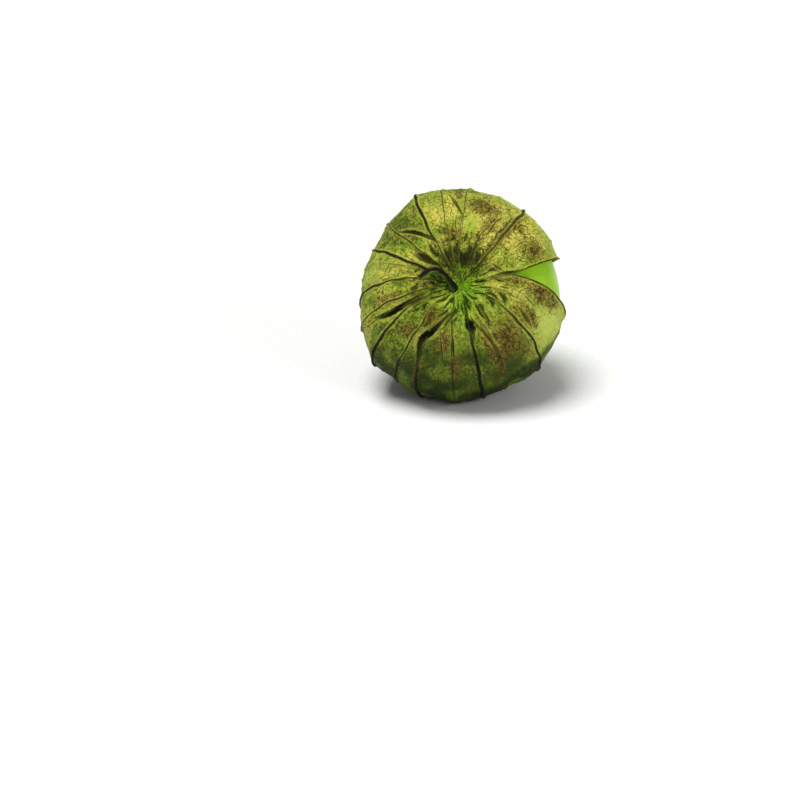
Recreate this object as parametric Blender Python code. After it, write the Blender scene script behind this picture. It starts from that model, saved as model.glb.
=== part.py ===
"""A tomatillo lying on its side in its papery husk: the berry, the split husk round it and the dry stalk.

The shapes are worked out in the fruit's own frame, in millimetres. Its pole is the stalk end. Polar
angles run from that pole to the blossom end, and bearings run round it, anticlockwise as seen from the
stalk end, with 0 on the right and 90 at the top. The fruit is then laid on a level surface, stalk end
towards -Y and raised, and its husk is pressed flat where it rests.
"""

from collections import namedtuple

import bpy
import numpy as np
from mathutils import Matrix

METRES_PER_MM = 0.001

# The berry: a slightly flattened ball, a little taller than wide across its axis, with three soft lobes.
BERRY_RADIUS = 26.0
BERRY_POLAR_RADIUS = 23.4
BERRY_OVAL = 0.018
BERRY_LOBE = 0.013
BERRY_LOBE_BEARING = 105.0
STALK_DIMPLE_DEPTH = 0.28
STALK_DIMPLE_ANGLE = 19.5
BLOSSOM_DIMPLE_DEPTH = 0.035
BLOSSOM_DIMPLE_ANGLE = 13.0

# The husk: a thin sheet that stands off the berry, lifted by its ribs.
CLEARANCE = 0.45
SHEET_THICKNESS = 0.6
RIDGE_HALF_WIDTH_DEG = 1.7
PANEL_SLACK = 0.7
PLEAT_DEPTH = 0.9
PLEAT_ANGLE = 26.0
PLEAT_SPREAD = 12.0
EDGE_CURL = 0.3
EDGE_CURL_WIDTH_DEG = 7.0

# The split, burst open from the stalk end's shoulder to the blossom end.
SPLIT_BEARING = 9.0
SPLIT_DRIFT = -3.5
SPLIT_START = 33.0
SPLIT_HALF_WIDTH = 9.2
SPLIT_FULL_AT = 95.0
SPLIT_POWER = 1.05
SPLIT_NARROWING = 0.42

# The husk's mouth: five pointed lobes of unequal length round the blossom end, with narrow slits between.
LOBES = 5
FIRST_LOBE_BEARING = 45.0
NOTCH_ANGLE = 152.0
TIP_ANGLE = 176.5
TIP_SPREAD = 4.0
LOBE_POWER = 0.3
MOUTH_FROM = 130.0
LOBE_CURL = 1.9

# Each rib: its bearing half way to the equator, its drift by the equator and its turn at the root, all in
# degrees, how far it lifts the sheet off the berry, and the height of its ridge, both in millimetres.
Rib = namedtuple("Rib", "bearing drift turn lift ridge")
EDGE_RIB = Rib(0.0, 0.0, 0.0, 0.25, 0.35)
RIBS = (
    Rib(31, 1, -3, 1.2, 0.20),
    Rib(50, 5, -4, 1.1, 0.45),
    Rib(69, 1, 0, 0.8, 0.15),
    Rib(88, -4, 2, 0.8, 0.40),
    Rib(103, -3, 2, 0.8, 0.25),
    Rib(119, -5, 3, 1.4, 0.45),
    Rib(141, -5, -6, 0.3, 0.35),
    Rib(157, -4, -2, 0.1, 0.45),
    Rib(164, 2, -4, 0.2, 0.20),
    Rib(178, 7, 2, 0.5, 0.45),
    Rib(195, 4, -2, 0.8, 0.25),
    Rib(203, -3, -3, 0.6, 0.40),
    Rib(210, 8, -3, 2.0, 0.45),
    Rib(230, 3, -10, 0.6, 0.35),
    Rib(239, 9, 12, 0.7, 0.50),
    Rib(265, 3, -6, 0.4, 0.30),
    Rib(282, 1, 3, 0.2, 0.50),
    Rib(300, -4, -10, 0.2, 0.35),
    Rib(326, -8, 5, 0.5, 0.45),
    Rib(345, -5, 6, 0.05, 0.20),
)

# The stalk: waypoints of its middle line in the fruit's frame, and its radius at each.
STALK_LINE = (
    (-1.7, -1.2, 0.0),
    (-2.2, -0.3, 1.8),
    (-3.9, 1.6, 3.9),
    (-6.9, 2.7, 5.3),
    (-10.1, 0.6, 5.5),
)
STALK_RADII = (1.55, 1.05, 0.8, 0.7, 0.8)
STALK_SEAT_GAP = 0.3
STALK_SEAT_RINGS = 6
STALK_SIDES = 10
STALK_RINGS = 18

# How it lies: the pole's rise above the level and its turn to the left, and the depth pressed flat.
POLE_RISE = 30.0
POLE_TURN = 1.5
PRESSED_DEPTH = 1.0

# Fineness of the meshes.
BERRY_COLUMNS = 42
BERRY_ROWS = 22
WIDE_PANEL_DEG = 11.0
HUSK_ROWS = 30

MATERIALS = {
    "berry": ((0.155, 0.40, 0.02, 1.0), 0.32),
    "husk": ((0.27, 0.32, 0.075, 1.0), 0.70),
    "stalk": ((0.045, 0.05, 0.022, 1.0), 0.75),
}


def smooth_step(low, high, x):
    """0 below low, 1 above high, and a smooth rise between them."""
    t = np.clip((x - low) / (high - low), 0.0, 1.0)
    return t * t * (3.0 - 2.0 * t)


def berry_radius(polar, bearing):
    """Distance of the berry's skin from its centre: a spheroid times its oval, its lobes and two dimples."""
    p, b = np.radians(polar), np.radians(bearing)
    spheroid = BERRY_RADIUS * BERRY_POLAR_RADIUS / np.hypot(
        BERRY_POLAR_RADIUS * np.sin(p), BERRY_RADIUS * np.cos(p)
    )
    oval = BERRY_OVAL * np.cos(2.0 * (b - np.pi / 2.0))
    lobes = BERRY_LOBE * np.cos(3.0 * (b - np.radians(BERRY_LOBE_BEARING)))
    girth = 1.0 + (oval + lobes) * np.sin(p) ** 2
    stalk_end = STALK_DIMPLE_DEPTH * np.exp(-((polar / STALK_DIMPLE_ANGLE) ** 2))
    blossom_end = BLOSSOM_DIMPLE_DEPTH * np.exp(-(((180.0 - polar) / BLOSSOM_DIMPLE_ANGLE) ** 2))
    return spheroid * girth * (1.0 - stalk_end - blossom_end)


def split_half_angle(polar):
    """Half of the split's width, in degrees of bearing: a power curve that levels off, then narrows a little."""
    part = np.maximum(polar - SPLIT_START, 0.0) / (SPLIT_FULL_AT - SPLIT_START)
    opened = (part / (1.0 + part**4) ** 0.25) ** SPLIT_POWER
    narrowed = 1.0 - SPLIT_NARROWING * smooth_step(95.0, 165.0, polar)
    girth = BERRY_RADIUS * np.sin(np.radians(np.clip(polar, SPLIT_START, 155.0)))
    return np.degrees(SPLIT_HALF_WIDTH * opened * narrowed / girth)


def rib_bearings(polar):
    """Bearing of every rib at these polar angles, the split's two edges first and last: shape (ribs, angles)."""
    outward = np.clip((polar - 45.0) / 45.0, -0.6, 1.1)
    rooted = np.exp(-((polar / 25.0) ** 2))
    middle = SPLIT_BEARING + SPLIT_DRIFT * np.clip(outward, 0.0, 1.0)
    half = split_half_angle(polar)
    inner = [rib.bearing + rib.drift * outward + rib.turn * rooted for rib in RIBS]
    return np.array([middle + half, *inner, 360.0 + middle - half])


def around(values, place):
    """Values given at each rib, read at fractional rib numbers, with a straight line between ribs."""
    index = np.clip(np.floor(place).astype(int), 0, len(values) - 2)
    part = place - index
    return values[index] * (1.0 - part) + values[index + 1] * part


def mouth_angle(bearing):
    """Polar angle of the husk's rim: slits between pointed lobes, some of them shorter than others."""
    turn = (bearing - FIRST_LOBE_BEARING) / (360.0 / LOBES)
    from_tip = 2.0 * np.abs(turn - np.round(turn))
    tip = TIP_ANGLE - TIP_SPREAD * np.sin(np.radians(bearing - 20.0)) ** 2
    return NOTCH_ANGLE + (tip - NOTCH_ANGLE) * (1.0 - from_tip) ** LOBE_POWER


def husk_grid(place, rows):
    """Polar angle and bearing on the husk's grid, with ribs along its columns and its last row on the rim."""
    lines = rib_bearings(rows)
    bearing = np.array([around(lines[:, j], place) for j in range(len(rows))])
    stretch = np.clip((rows[:, None] - MOUTH_FROM) / (rows[-1] - MOUTH_FROM), 0.0, 1.0)
    level = np.minimum(rows[:, None], MOUTH_FROM)
    polar = level + stretch * (mouth_angle(bearing) - MOUTH_FROM)
    return polar, bearing


def husk_lift(place, polar, bearing, spacing):
    """How far the sheet's inner face stands off the berry: tents at the ribs, slack panels, pleats and curls."""
    ribs = [EDGE_RIB, *RIBS, EDGE_RIB]
    part = place - np.floor(place)
    between = 4.0 * part * (1.0 - part)
    open_out = smooth_step(14.0, 60.0, polar)
    tent = around(np.array([rib.lift for rib in ribs]), place) * open_out
    sagitta = BERRY_RADIUS * (1.0 - np.cos(np.radians(spacing / 2.0)))
    slack = PANEL_SLACK * sagitta * between * open_out
    pleat = PLEAT_DEPTH * np.exp(-(((polar - PLEAT_ANGLE) / PLEAT_SPREAD) ** 2)) * (1.0 - between)
    opened = smooth_step(SPLIT_START, 60.0, polar)
    first, last = bearing[:, :1], bearing[:, -1:]
    from_edge = np.minimum(bearing - first, last - bearing)
    edge = EDGE_CURL * np.exp(-from_edge / EDGE_CURL_WIDTH_DEG) * opened
    tips = LOBE_CURL * smooth_step(NOTCH_ANGLE - 8.0, TIP_ANGLE, polar)
    return CLEARANCE + np.maximum(tent - slack, 0.0) + pleat + edge + tips


def ridge_height(place, polar):
    """Height of the ribs' ridges on the outer face, which fall to nothing at each crest's neighbouring columns."""
    ribs = [EDGE_RIB, *RIBS, EDGE_RIB]
    on_crest = np.isclose(place, np.round(place))
    height = np.array([rib.ridge for rib in ribs])[np.round(place).astype(int)]
    grown = smooth_step(6.0, 16.0, polar) * (1.0 - 0.4 * smooth_step(90.0, 160.0, polar))
    return np.where(on_crest, height, 0.0) * grown


def panel_columns():
    """Fractional rib numbers of the columns: each crest, one each side of it, and a wide panel's middle."""
    lines = rib_bearings(np.array([60.0]))[:, 0]
    place = []
    for i, width in enumerate(np.diff(lines)):
        flank = min(0.3, RIDGE_HALF_WIDTH_DEG / width)
        middle = [i + 0.5] if width > WIDE_PANEL_DEG else []
        place += [i, i + flank, *middle, i + 1 - flank]
    return np.array([*place, len(lines) - 1])


def to_world(polar, bearing, radius):
    """Points in metres, in the lying fruit's frame, before it is set down on the surface."""
    p, b = np.radians(polar), np.radians(bearing)
    own = radius[..., None] * np.stack(
        [np.sin(p) * np.cos(b), np.sin(p) * np.sin(b), np.cos(p)], axis=-1
    )
    return turned(own)


def turned(own):
    """Points of the fruit's frame, in millimetres, turned to how it lies."""
    rise, turn = np.radians(POLE_RISE), np.radians(POLE_TURN)
    pole = np.array([-np.sin(turn) * np.cos(rise), -np.cos(turn) * np.cos(rise), np.sin(rise)])
    right = np.array([1.0, 0.0, 0.0]) - pole[0] * pole
    right /= np.linalg.norm(right)
    up = np.cross(pole, right)
    return own @ np.array([right, up, pole])


def pressed(points, level):
    """Points no lower than the level: what would sink into the surface is flattened on it."""
    points = points.copy()
    points[..., 2] = np.maximum(points[..., 2], level)
    return points


def eased(points, level, softness=0.6):
    """Points kept above the level by a smooth bend, as a firm fruit's side is."""
    points = points.copy()
    above = points[..., 2] - level
    points[..., 2] = level + 0.5 * (above + np.hypot(above, softness))
    return points


def add_object(name, points, faces):
    """Makes a named object from points in millimetres."""
    mesh = bpy.data.meshes.new(name)
    mesh.from_pydata((points * METRES_PER_MM).tolist(), [], faces)
    mesh.validate()
    mesh.shade_smooth()
    colour, roughness = MATERIALS[name]
    material = bpy.data.materials.new(name)
    material.use_nodes = True
    shader = material.node_tree.nodes["Principled BSDF"]
    shader.inputs["Base Color"].default_value = colour
    shader.inputs["Roughness"].default_value = roughness
    shader.inputs["Metallic"].default_value = 0.0
    mesh.materials.append(material)
    made = bpy.data.objects.new(name, mesh)
    bpy.context.scene.collection.objects.link(made)
    return made


def husk_sheet(place, rows):
    """Inner and outer faces of the husk as two grids of points, turned to how the fruit lies."""
    polar, bearing = husk_grid(place, rows)
    spacing = around(np.append(np.diff(rib_bearings(np.array([60.0]))[:, 0]), 0.0), np.floor(place))
    inner = berry_radius(polar, bearing) + husk_lift(place, polar, bearing, spacing)
    outer = inner + SHEET_THICKNESS + ridge_height(place, polar)
    return to_world(polar, bearing, inner), to_world(polar, bearing, outer)


def sheet_faces(index, flip):
    """Quads and triangles between neighbouring points of a grid of point numbers, leaving out collapsed sides."""
    faces = []
    for j in range(index.shape[0] - 1):
        for i in range(index.shape[1] - 1):
            ring = [index[j, i], index[j + 1, i], index[j + 1, i + 1], index[j, i + 1]]
            ring = [int(n) for k, n in enumerate(ring) if n != ring[k - 1]]
            if len(ring) > 2:
                faces.append(ring[::-1] if flip else ring)
    return faces


def husk_numbers(shape, closed_rows, first):
    """Point numbers of a sheet: one pole, rows that close on themselves, then rows with two free edges."""
    rows, columns = shape
    index = np.zeros(shape, int)
    index[0, :] = first
    number = first + 1
    for j in range(1, rows):
        own = columns - 1 if j < closed_rows else columns
        index[j, :own] = np.arange(number, number + own)
        if own < columns:
            index[j, -1] = index[j, 0]
        number += own
    return index, number


def rim_loop(index, closed_rows):
    """Point numbers round a sheet's free edge: down one side of the split, round the mouth and back up."""
    down = index[closed_rows - 1 :, 0]
    across = index[-1, 1:]
    up = index[closed_rows:-1, -1][::-1]
    return np.concatenate([down, across, up])


def make_husk(rows, level):
    """The husk: a thin split sheet, closed over its thickness along the split's edges and the mouth's rim."""
    place = panel_columns()
    closed_rows = int(np.sum(rows <= SPLIT_START))
    inner, outer = husk_sheet(place, rows)
    outer = pressed(outer, level)
    inner = pressed(inner, level + SHEET_THICKNESS)
    out_index, count = husk_numbers(outer.shape[:2], closed_rows, 0)
    in_index, total = husk_numbers(inner.shape[:2], closed_rows, count)
    points = np.zeros((total, 3))
    points[out_index.ravel()] = outer.reshape(-1, 3)
    points[in_index.ravel()] = inner.reshape(-1, 3)
    faces = sheet_faces(out_index, False) + sheet_faces(in_index, True)
    rim_out, rim_in = rim_loop(out_index, closed_rows), rim_loop(in_index, closed_rows)
    for a, b, c, d in zip(rim_out, np.roll(rim_out, -1), np.roll(rim_in, -1), rim_in):
        faces.append([int(d), int(c), int(b), int(a)])
    return add_object("husk", points, faces)


def make_berry(level):
    """The berry: one closed ball of rings between its two poles."""
    polar = np.linspace(0.0, 180.0, BERRY_ROWS + 1)[:, None]
    bearing = np.linspace(0.0, 360.0, BERRY_COLUMNS + 1)[None, :]
    polar, bearing = np.broadcast_arrays(polar, bearing)
    grid = to_world(polar, bearing, berry_radius(polar, bearing))
    grid = eased(grid, level + SHEET_THICKNESS + CLEARANCE)
    index = np.zeros(grid.shape[:2], int)
    index[1:-1, :-1] = 1 + np.arange((BERRY_ROWS - 1) * BERRY_COLUMNS).reshape(BERRY_ROWS - 1, -1)
    index[1:-1, -1] = index[1:-1, 0]
    index[-1, :] = 1 + (BERRY_ROWS - 1) * BERRY_COLUMNS
    points = np.zeros((index[-1, 0] + 1, 3))
    points[index.ravel()] = grid.reshape(-1, 3)
    return add_object("berry", points, sheet_faces(index, False))


def smooth_line(knots, count):
    """Points on a Catmull-Rom curve through the knots, evenly spread over its spans."""
    knots = np.asarray(knots, float)
    padded = np.concatenate([2 * knots[:1] - knots[1:2], knots, 2 * knots[-1:] - knots[-2:-1]])
    t = np.linspace(0.0, len(knots) - 1.0, count)
    span = np.minimum(t.astype(int), len(knots) - 2)
    s = (t - span)[:, None]
    p0, p1, p2, p3 = (padded[span + k] for k in range(4))
    return 0.5 * (
        2 * p1 + (p2 - p0) * s + (2 * p0 - 5 * p1 + 4 * p2 - p3) * s**2 + (3 * p1 - p0 - 3 * p2 + p3) * s**3
    )


def hollow_height(across):
    """Height along the fruit's axis of the highest pleats in the stalk hollow, at distances from the axis."""
    place, polar = np.arange(len(RIBS) + 1.0), np.linspace(0.0, 25.0, 26)
    angles, bearing = husk_grid(place, np.append(polar, 160.0))
    outer = berry_radius(angles, bearing) + husk_lift(place, angles, bearing, 0.0) + SHEET_THICKNESS
    outer = (outer + ridge_height(place, angles))[:-1].max(axis=1)
    return np.interp(across, outer * np.sin(np.radians(polar)), outer * np.cos(np.radians(polar)))


def make_stalk():
    """The stalk: rings carried along its curved line, its foot fitted to the hollow and both ends capped."""
    line = smooth_line(STALK_LINE, STALK_RINGS)
    line[:, 2] += hollow_height(np.hypot(*line[0, :2])) + STALK_SEAT_GAP
    radius = smooth_line([[r] for r in STALK_RADII], STALK_RINGS)
    along = np.gradient(line, axis=0)
    along[0] = (0.0, 0.0, 1.0)
    along /= np.linalg.norm(along, axis=1, keepdims=True)
    side = np.cross(along, np.array([0.3, -1.0, 0.1]))
    side /= np.linalg.norm(side, axis=1, keepdims=True)
    across = np.cross(along, side)
    turn = np.linspace(0.0, 2.0 * np.pi, STALK_SIDES, endpoint=False)[None, :, None]
    rings = line[:, None] + radius[:, None] * (np.cos(turn) * side[:, None] + np.sin(turn) * across[:, None])
    foot = hollow_height(np.hypot(rings[0, :, 0], rings[0, :, 1])) + STALK_SEAT_GAP - rings[0, :, 2]
    fitted = np.clip(1.0 - np.arange(STALK_RINGS) / STALK_SEAT_RINGS, 0.0, 1.0)
    rings[..., 2] += fitted[:, None] * foot
    number = np.arange(STALK_RINGS * STALK_SIDES).reshape(STALK_RINGS, STALK_SIDES)
    index = np.column_stack([number, number[:, 0]])
    faces = sheet_faces(index, True)
    faces += [number[0, ::-1].tolist(), number[-1].tolist()]
    return add_object("stalk", turned(rings.reshape(-1, 3)), faces)


def set_down(pieces):
    """Moves the pieces' meshes so that the origin is under the middle of their box, on the surface."""
    corners = np.array([corner for piece in pieces for corner in piece.bound_box])
    low, high = corners.min(axis=0), corners.max(axis=0)
    origin = np.append((low[:2] + high[:2]) / 2.0, low[2])
    for piece in pieces:
        piece.data.transform(Matrix.Translation((-origin).tolist()))


def husk_rows():
    """Polar angles of the husk's rows: closer together in the stalk dimple and at the split's start."""
    dimple = np.linspace(0.0, SPLIT_START, 10)
    shoulder = np.linspace(SPLIT_START, 48.0, 5)[1:]
    side = np.linspace(48.0, NOTCH_ANGLE, HUSK_ROWS - len(dimple) - len(shoulder) + 1)[1:]
    return np.concatenate([dimple, shoulder, side])


def main():
    """Clears the scene and builds the three pieces, set down on a level surface."""
    for old in list(bpy.data.objects):
        bpy.data.objects.remove(old)
    rows = husk_rows()
    lowest = to_world(*np.broadcast_arrays(120.0, 270.0), np.asarray(berry_radius(120.0, 270.0)))[2]
    level = lowest - CLEARANCE - SHEET_THICKNESS + PRESSED_DEPTH
    set_down([make_berry(level), make_husk(rows, level), make_stalk()])


main()
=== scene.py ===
"""A tomatillo lying on its side in its dry husk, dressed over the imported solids.

Shapes are worked out in the fruit's own frame, in millimetres: its pole is the stalk end, polar angles run
from there to the blossom end, and bearings run round it, anticlockwise as seen from the stalk end, with 0 on
the right and 90 at the top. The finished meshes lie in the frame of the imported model, in metres.
"""

import logging
from dataclasses import dataclass, field
from enum import Enum
from typing import Any, Sequence

import bpy
import numpy as np
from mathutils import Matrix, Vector


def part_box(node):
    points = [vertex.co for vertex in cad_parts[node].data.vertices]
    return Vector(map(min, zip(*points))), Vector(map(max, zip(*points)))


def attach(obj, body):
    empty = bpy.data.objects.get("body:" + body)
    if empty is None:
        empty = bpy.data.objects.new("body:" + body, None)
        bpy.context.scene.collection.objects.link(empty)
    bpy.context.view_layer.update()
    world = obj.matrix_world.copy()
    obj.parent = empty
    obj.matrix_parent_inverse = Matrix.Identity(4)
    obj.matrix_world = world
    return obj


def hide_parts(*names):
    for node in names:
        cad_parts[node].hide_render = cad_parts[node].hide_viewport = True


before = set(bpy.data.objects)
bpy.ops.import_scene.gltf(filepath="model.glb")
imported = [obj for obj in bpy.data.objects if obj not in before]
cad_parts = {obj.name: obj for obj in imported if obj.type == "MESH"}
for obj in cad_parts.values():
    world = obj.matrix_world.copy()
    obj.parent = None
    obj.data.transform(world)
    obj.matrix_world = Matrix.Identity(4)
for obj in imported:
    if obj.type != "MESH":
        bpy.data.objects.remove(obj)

LOG = logging.getLogger("tomatillo")
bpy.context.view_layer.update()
# A millimetre in metres and a degree in radians.
MM = 0.001
DEGREE = np.radians(1.0)
# Lines, patches and fields are laid out on a ball of this radius, in millimetres, the size of the berry.
MARK_RADIUS = 26.0
# The radius, in millimetres, that turns polar angles into lengths along a patch.
LENGTH_RADIUS = 25.0
# The radius, in millimetres, of the fruit's girth where a pattern is drawn out along it.
GIRTH_RADIUS = 27.0
# The gap that the marks give where no line is near, in half widths of a line.
NO_LINE = 6.0


def linear(code: str) -> tuple[float, float, float, float]:
    """Turns an sRGB hex colour into linear light.

    Args:
        code: The colour as "#rrggbb".

    Returns:
        Red, green, blue and an alpha of 1.
    """
    parts = np.array([int(code[i : i + 2], 16) for i in (1, 3, 5)]) / 255.0
    light = np.where(parts <= 0.04045, parts / 12.92, ((parts + 0.055) / 1.055) ** 2.4)
    return (float(light[0]), float(light[1]), float(light[2]), 1.0)


def smooth_step(low: float, high: float, x: np.ndarray) -> np.ndarray:
    """0 below low, 1 above high, and the cubic 3t^2 - 2t^3 between them."""
    t = np.clip((np.asarray(x, float) - low) / (high - low), 0.0, 1.0)
    return t * t * (3.0 - 2.0 * t)


def smooth_line(knots: Sequence[Sequence[float]], count: int) -> np.ndarray:
    """A smooth curve through knots: between each two the cubic whose slopes there come from their neighbours.

    Args:
        knots: Points of any dimension, in order.
        count: How many points to return, evenly spread over the spans.

    Returns:
        The points, one a row.
    """
    rows = np.asarray(knots, float)
    padded = np.concatenate([2 * rows[:1] - rows[1:2], rows, 2 * rows[-1:] - rows[-2:-1]])
    t = np.linspace(0.0, len(rows) - 1.0, count)
    span = np.minimum(t.astype(int), len(rows) - 2)
    s = (t - span)[:, None]
    p0, p1, p2, p3 = (padded[span + k] for k in range(4))
    cubic = (3 * p1 - p0 - 3 * p2 + p3) * s**3
    return 0.5 * (2 * p1 + (p2 - p0) * s + (2 * p0 - 5 * p1 + 4 * p2 - p3) * s**2 + cubic)


class WaveField:
    """A smooth random field: a sum of plane waves of one rough wavelength and seeded directions.

    Each field has a seed of its own, so that a change to one leaves the others as they are.
    """

    def __init__(self, seed: int, wavelength: float, waves: int = 36) -> None:
        """Draws the waves.

        Args:
            seed: Makes the field the same each run.
            wavelength: Typical distance between its crests, in millimetres.
            waves: How many plane waves are summed.
        """
        rng = np.random.default_rng(seed)
        heading = rng.normal(size=(waves, 3))
        heading /= np.linalg.norm(heading, axis=1, keepdims=True)
        self.pulse = heading * (2.0 * np.pi / wavelength) * rng.uniform(0.6, 1.5, (waves, 1))
        self.phase = rng.uniform(0.0, 2.0 * np.pi, waves)
        self.scale = np.sqrt(2.0 / waves)

    def at(self, points: np.ndarray) -> np.ndarray:
        """Sums the waves.

        Args:
            points: Places in millimetres.

        Returns:
            The field there, of mean 0 and spread 1.
        """
        flat = points.reshape(-1, 3)
        total = np.zeros(len(flat))
        for pulse, phase in zip(self.pulse, self.phase):
            total += np.cos(flat @ pulse + phase)
        return (total * self.scale).reshape(points.shape[:-1])


@dataclass(frozen=True)
class Pose:
    """How the fruit lies: its pole's rise above the level, its turn to the left and its centre's place."""

    rise: float = 30.0
    turn: float = 1.5
    centre: tuple[float, float, float] = (-0.05, -0.28, 25.485)

    def axes(self) -> np.ndarray:
        """Directions of the fruit as it lies.

        Returns:
            Its right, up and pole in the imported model's frame, one a row.
        """
        rise, turn = np.radians(self.rise), np.radians(self.turn)
        pole = np.array([-np.sin(turn) * np.cos(rise), -np.cos(turn) * np.cos(rise), np.sin(rise)])
        right = np.array([1.0, 0.0, 0.0]) - pole[0] * pole
        right /= np.linalg.norm(right)
        return np.array([right, np.cross(pole, right), pole])

    def laid(self, own: np.ndarray) -> np.ndarray:
        """Points of the fruit's own frame, in millimetres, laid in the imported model's frame."""
        return own @ self.axes() + np.array(self.centre)


def ball(polar: np.ndarray, bearing: np.ndarray, radius: np.ndarray) -> np.ndarray:
    """Points round the fruit's centre: r (sin p cos b, sin p sin b, cos p).

    Args:
        polar: Angles p from the stalk end, in degrees.
        bearing: Angles b round the fruit, in degrees.
        radius: Distances r from the centre.

    Returns:
        The points in the fruit's own frame.
    """
    p, b = np.radians(polar), np.radians(bearing)
    way = np.stack([np.sin(p) * np.cos(b), np.sin(p) * np.sin(b), np.cos(p) * np.ones_like(b)], axis=-1)
    return np.asarray(radius)[..., None] * way


def on_ball(polar: np.ndarray, bearing: np.ndarray) -> np.ndarray:
    """Points at these angles on the ball that lines, patches and fields are laid out on."""
    return ball(polar, bearing, np.full(np.shape(polar), MARK_RADIUS))


def rested(points: np.ndarray, height: float, rounding: float) -> np.ndarray:
    """Points kept over a height: their z bends up to it as (z + sqrt(z^2 + rounding^2)) / 2.

    Args:
        points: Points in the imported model's frame, in millimetres; their z is changed in place.
        height: The height to stay over.
        rounding: How gently the surface bends there.

    Returns:
        The same points.
    """
    over = points[..., 2] - height
    points[..., 2] = height + 0.5 * (over + np.hypot(over, rounding))
    return points


@dataclass
class Piece:
    """A mesh being built: its points, its faces and the numbers that its finish reads at each point."""

    name: str
    points: np.ndarray
    faces: list[list[int]]
    marks: dict[str, np.ndarray] = field(default_factory=dict)

    def build(self, material: bpy.types.Material) -> bpy.types.Object:
        """Makes the object, its place in its mesh, shaded smooth.

        Args:
            material: The piece's finish.

        Returns:
            The new object, linked to the scene.
        """
        mesh = bpy.data.meshes.new(self.name)
        mesh.from_pydata((self.points * MM).tolist(), [], self.faces)
        mesh.validate()
        for mark, values in self.marks.items():
            layer = mesh.attributes.new(mark, "FLOAT", "POINT")
            layer.data.foreach_set("value", values.astype(np.float32))
        mesh.shade_smooth()
        mesh.materials.append(material)
        made = bpy.data.objects.new(self.name, mesh)
        bpy.context.scene.collection.objects.link(made)
        return made


def grid_faces(index: np.ndarray, flip: bool = False) -> list[list[int]]:
    """Faces between the neighbours of a grid of point numbers; a collapsed side turns a quad into a triangle.

    Args:
        index: Point numbers, rows by columns.
        flip: Whether to wind the faces the other way.

    Returns:
        The faces' point numbers.
    """
    corners = np.stack([index[:-1, :-1], index[1:, :-1], index[1:, 1:], index[:-1, 1:]], axis=-1)
    corners = corners.reshape(-1, 4)
    if flip:
        corners = corners[:, ::-1]
    repeated = corners == np.roll(corners, 1, axis=1)
    whole = ~repeated.any(axis=1)
    pinched = corners[~whole][~repeated[~whole]].reshape(-1, 3)
    return corners[whole].tolist() + pinched.tolist()


@dataclass(frozen=True)
class FruitForm:
    """The berry's form, which the husk follows: a spheroid times an oval and three lobes, with two dimples."""

    radius: float = 26.0
    polar_radius: float = 23.4
    oval: float = 0.018
    lobe: float = 0.013
    lobe_bearing: float = 105.0
    stalk_dimple: tuple[float, float] = (0.28, 19.5)
    blossom_dimple: tuple[float, float] = (0.035, 13.0)

    def skin(self, polar: np.ndarray, bearing: np.ndarray) -> np.ndarray:
        """Distance of the skin from the centre.

        Args:
            polar: Angles from the stalk end, in degrees.
            bearing: Angles round the fruit, in degrees.

        Returns:
            Distances in millimetres.
        """
        p, b = np.radians(polar), np.radians(bearing)
        spheroid = self.radius * self.polar_radius / np.hypot(
            self.polar_radius * np.sin(p), self.radius * np.cos(p)
        )
        oval = self.oval * np.cos(2.0 * (b - np.pi / 2.0))
        lobes = self.lobe * np.cos(3.0 * (b - np.radians(self.lobe_bearing)))
        girth = 1.0 + (oval + lobes) * np.sin(p) ** 2
        stalk_end = self.stalk_dimple[0] * np.exp(-((polar / self.stalk_dimple[1]) ** 2))
        blossom_end = self.blossom_dimple[0] * np.exp(-(((180.0 - polar) / self.blossom_dimple[1]) ** 2))
        return spheroid * girth * (1.0 - stalk_end - blossom_end)


def add(
    tree: bpy.types.NodeTree,
    kind: str,
    links: dict[int | str, Any] | None = None,
    out: int | str = 0,
    **settings: Any,
) -> bpy.types.NodeSocket:
    """Adds a shader node with its settings and links.

    Args:
        tree: The material's node tree.
        kind: The node's Blender type without its ShaderNode prefix.
        links: Input name or number to a value, or to the socket that feeds it.
        out: Name or number of the output wanted.
        **settings: Properties of the node.

    Returns:
        That output's socket.
    """
    made = tree.nodes.new("ShaderNode" + kind)
    for key, value in settings.items():
        setattr(made, key, value)
    for key, value in (links or {}).items():
        if isinstance(value, bpy.types.NodeSocket):
            tree.links.new(value, made.inputs[key])
        else:
            made.inputs[key].default_value = value
    return made.outputs[out]


@dataclass(frozen=True)
class Layer:
    """One tint over those below it.

    Its share rises smoothly from 0 to top while a weighted sum of named sockets goes from low to high, which
    may be the smaller of the two, and is then multiplied by the sockets in times.
    """

    tint: str
    terms: dict[str, float]
    low: float
    high: float
    top: float = 1.0
    times: tuple[str, ...] = ()


def layered(
    tree: bpy.types.NodeTree, first: str, layers: Sequence[Layer], sockets: dict[str, bpy.types.NodeSocket]
) -> bpy.types.NodeSocket:
    """Lays tints over a first colour.

    Args:
        tree: The material's node tree.
        first: The colour beneath them all, as sRGB hex.
        layers: The tints, lowest first.
        sockets: The sockets that the layers name.

    Returns:
        The finished colour's socket.
    """
    colour: Any = linear(first)
    for layer in layers:
        total: Any = 0.0
        for name, weight in layer.terms.items():
            total = add(tree, "Math", {0: sockets[name], 1: weight, 2: total}, operation="MULTIPLY_ADD")
        low, high = sorted((layer.low, layer.high))
        ends = (0.0, layer.top) if layer.low < layer.high else (layer.top, 0.0)
        spread = {0: total, 1: low, 2: high, 3: ends[0], 4: ends[1]}
        share = add(tree, "MapRange", spread, interpolation_type="SMOOTHSTEP")
        for name in layer.times:
            share = add(tree, "Math", {0: share, 1: sockets[name]}, operation="MULTIPLY")
        colour = add(tree, "Mix", {0: share, 6: colour, 7: linear(layer.tint)}, out=2, data_type="RGBA")
    return colour


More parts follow.
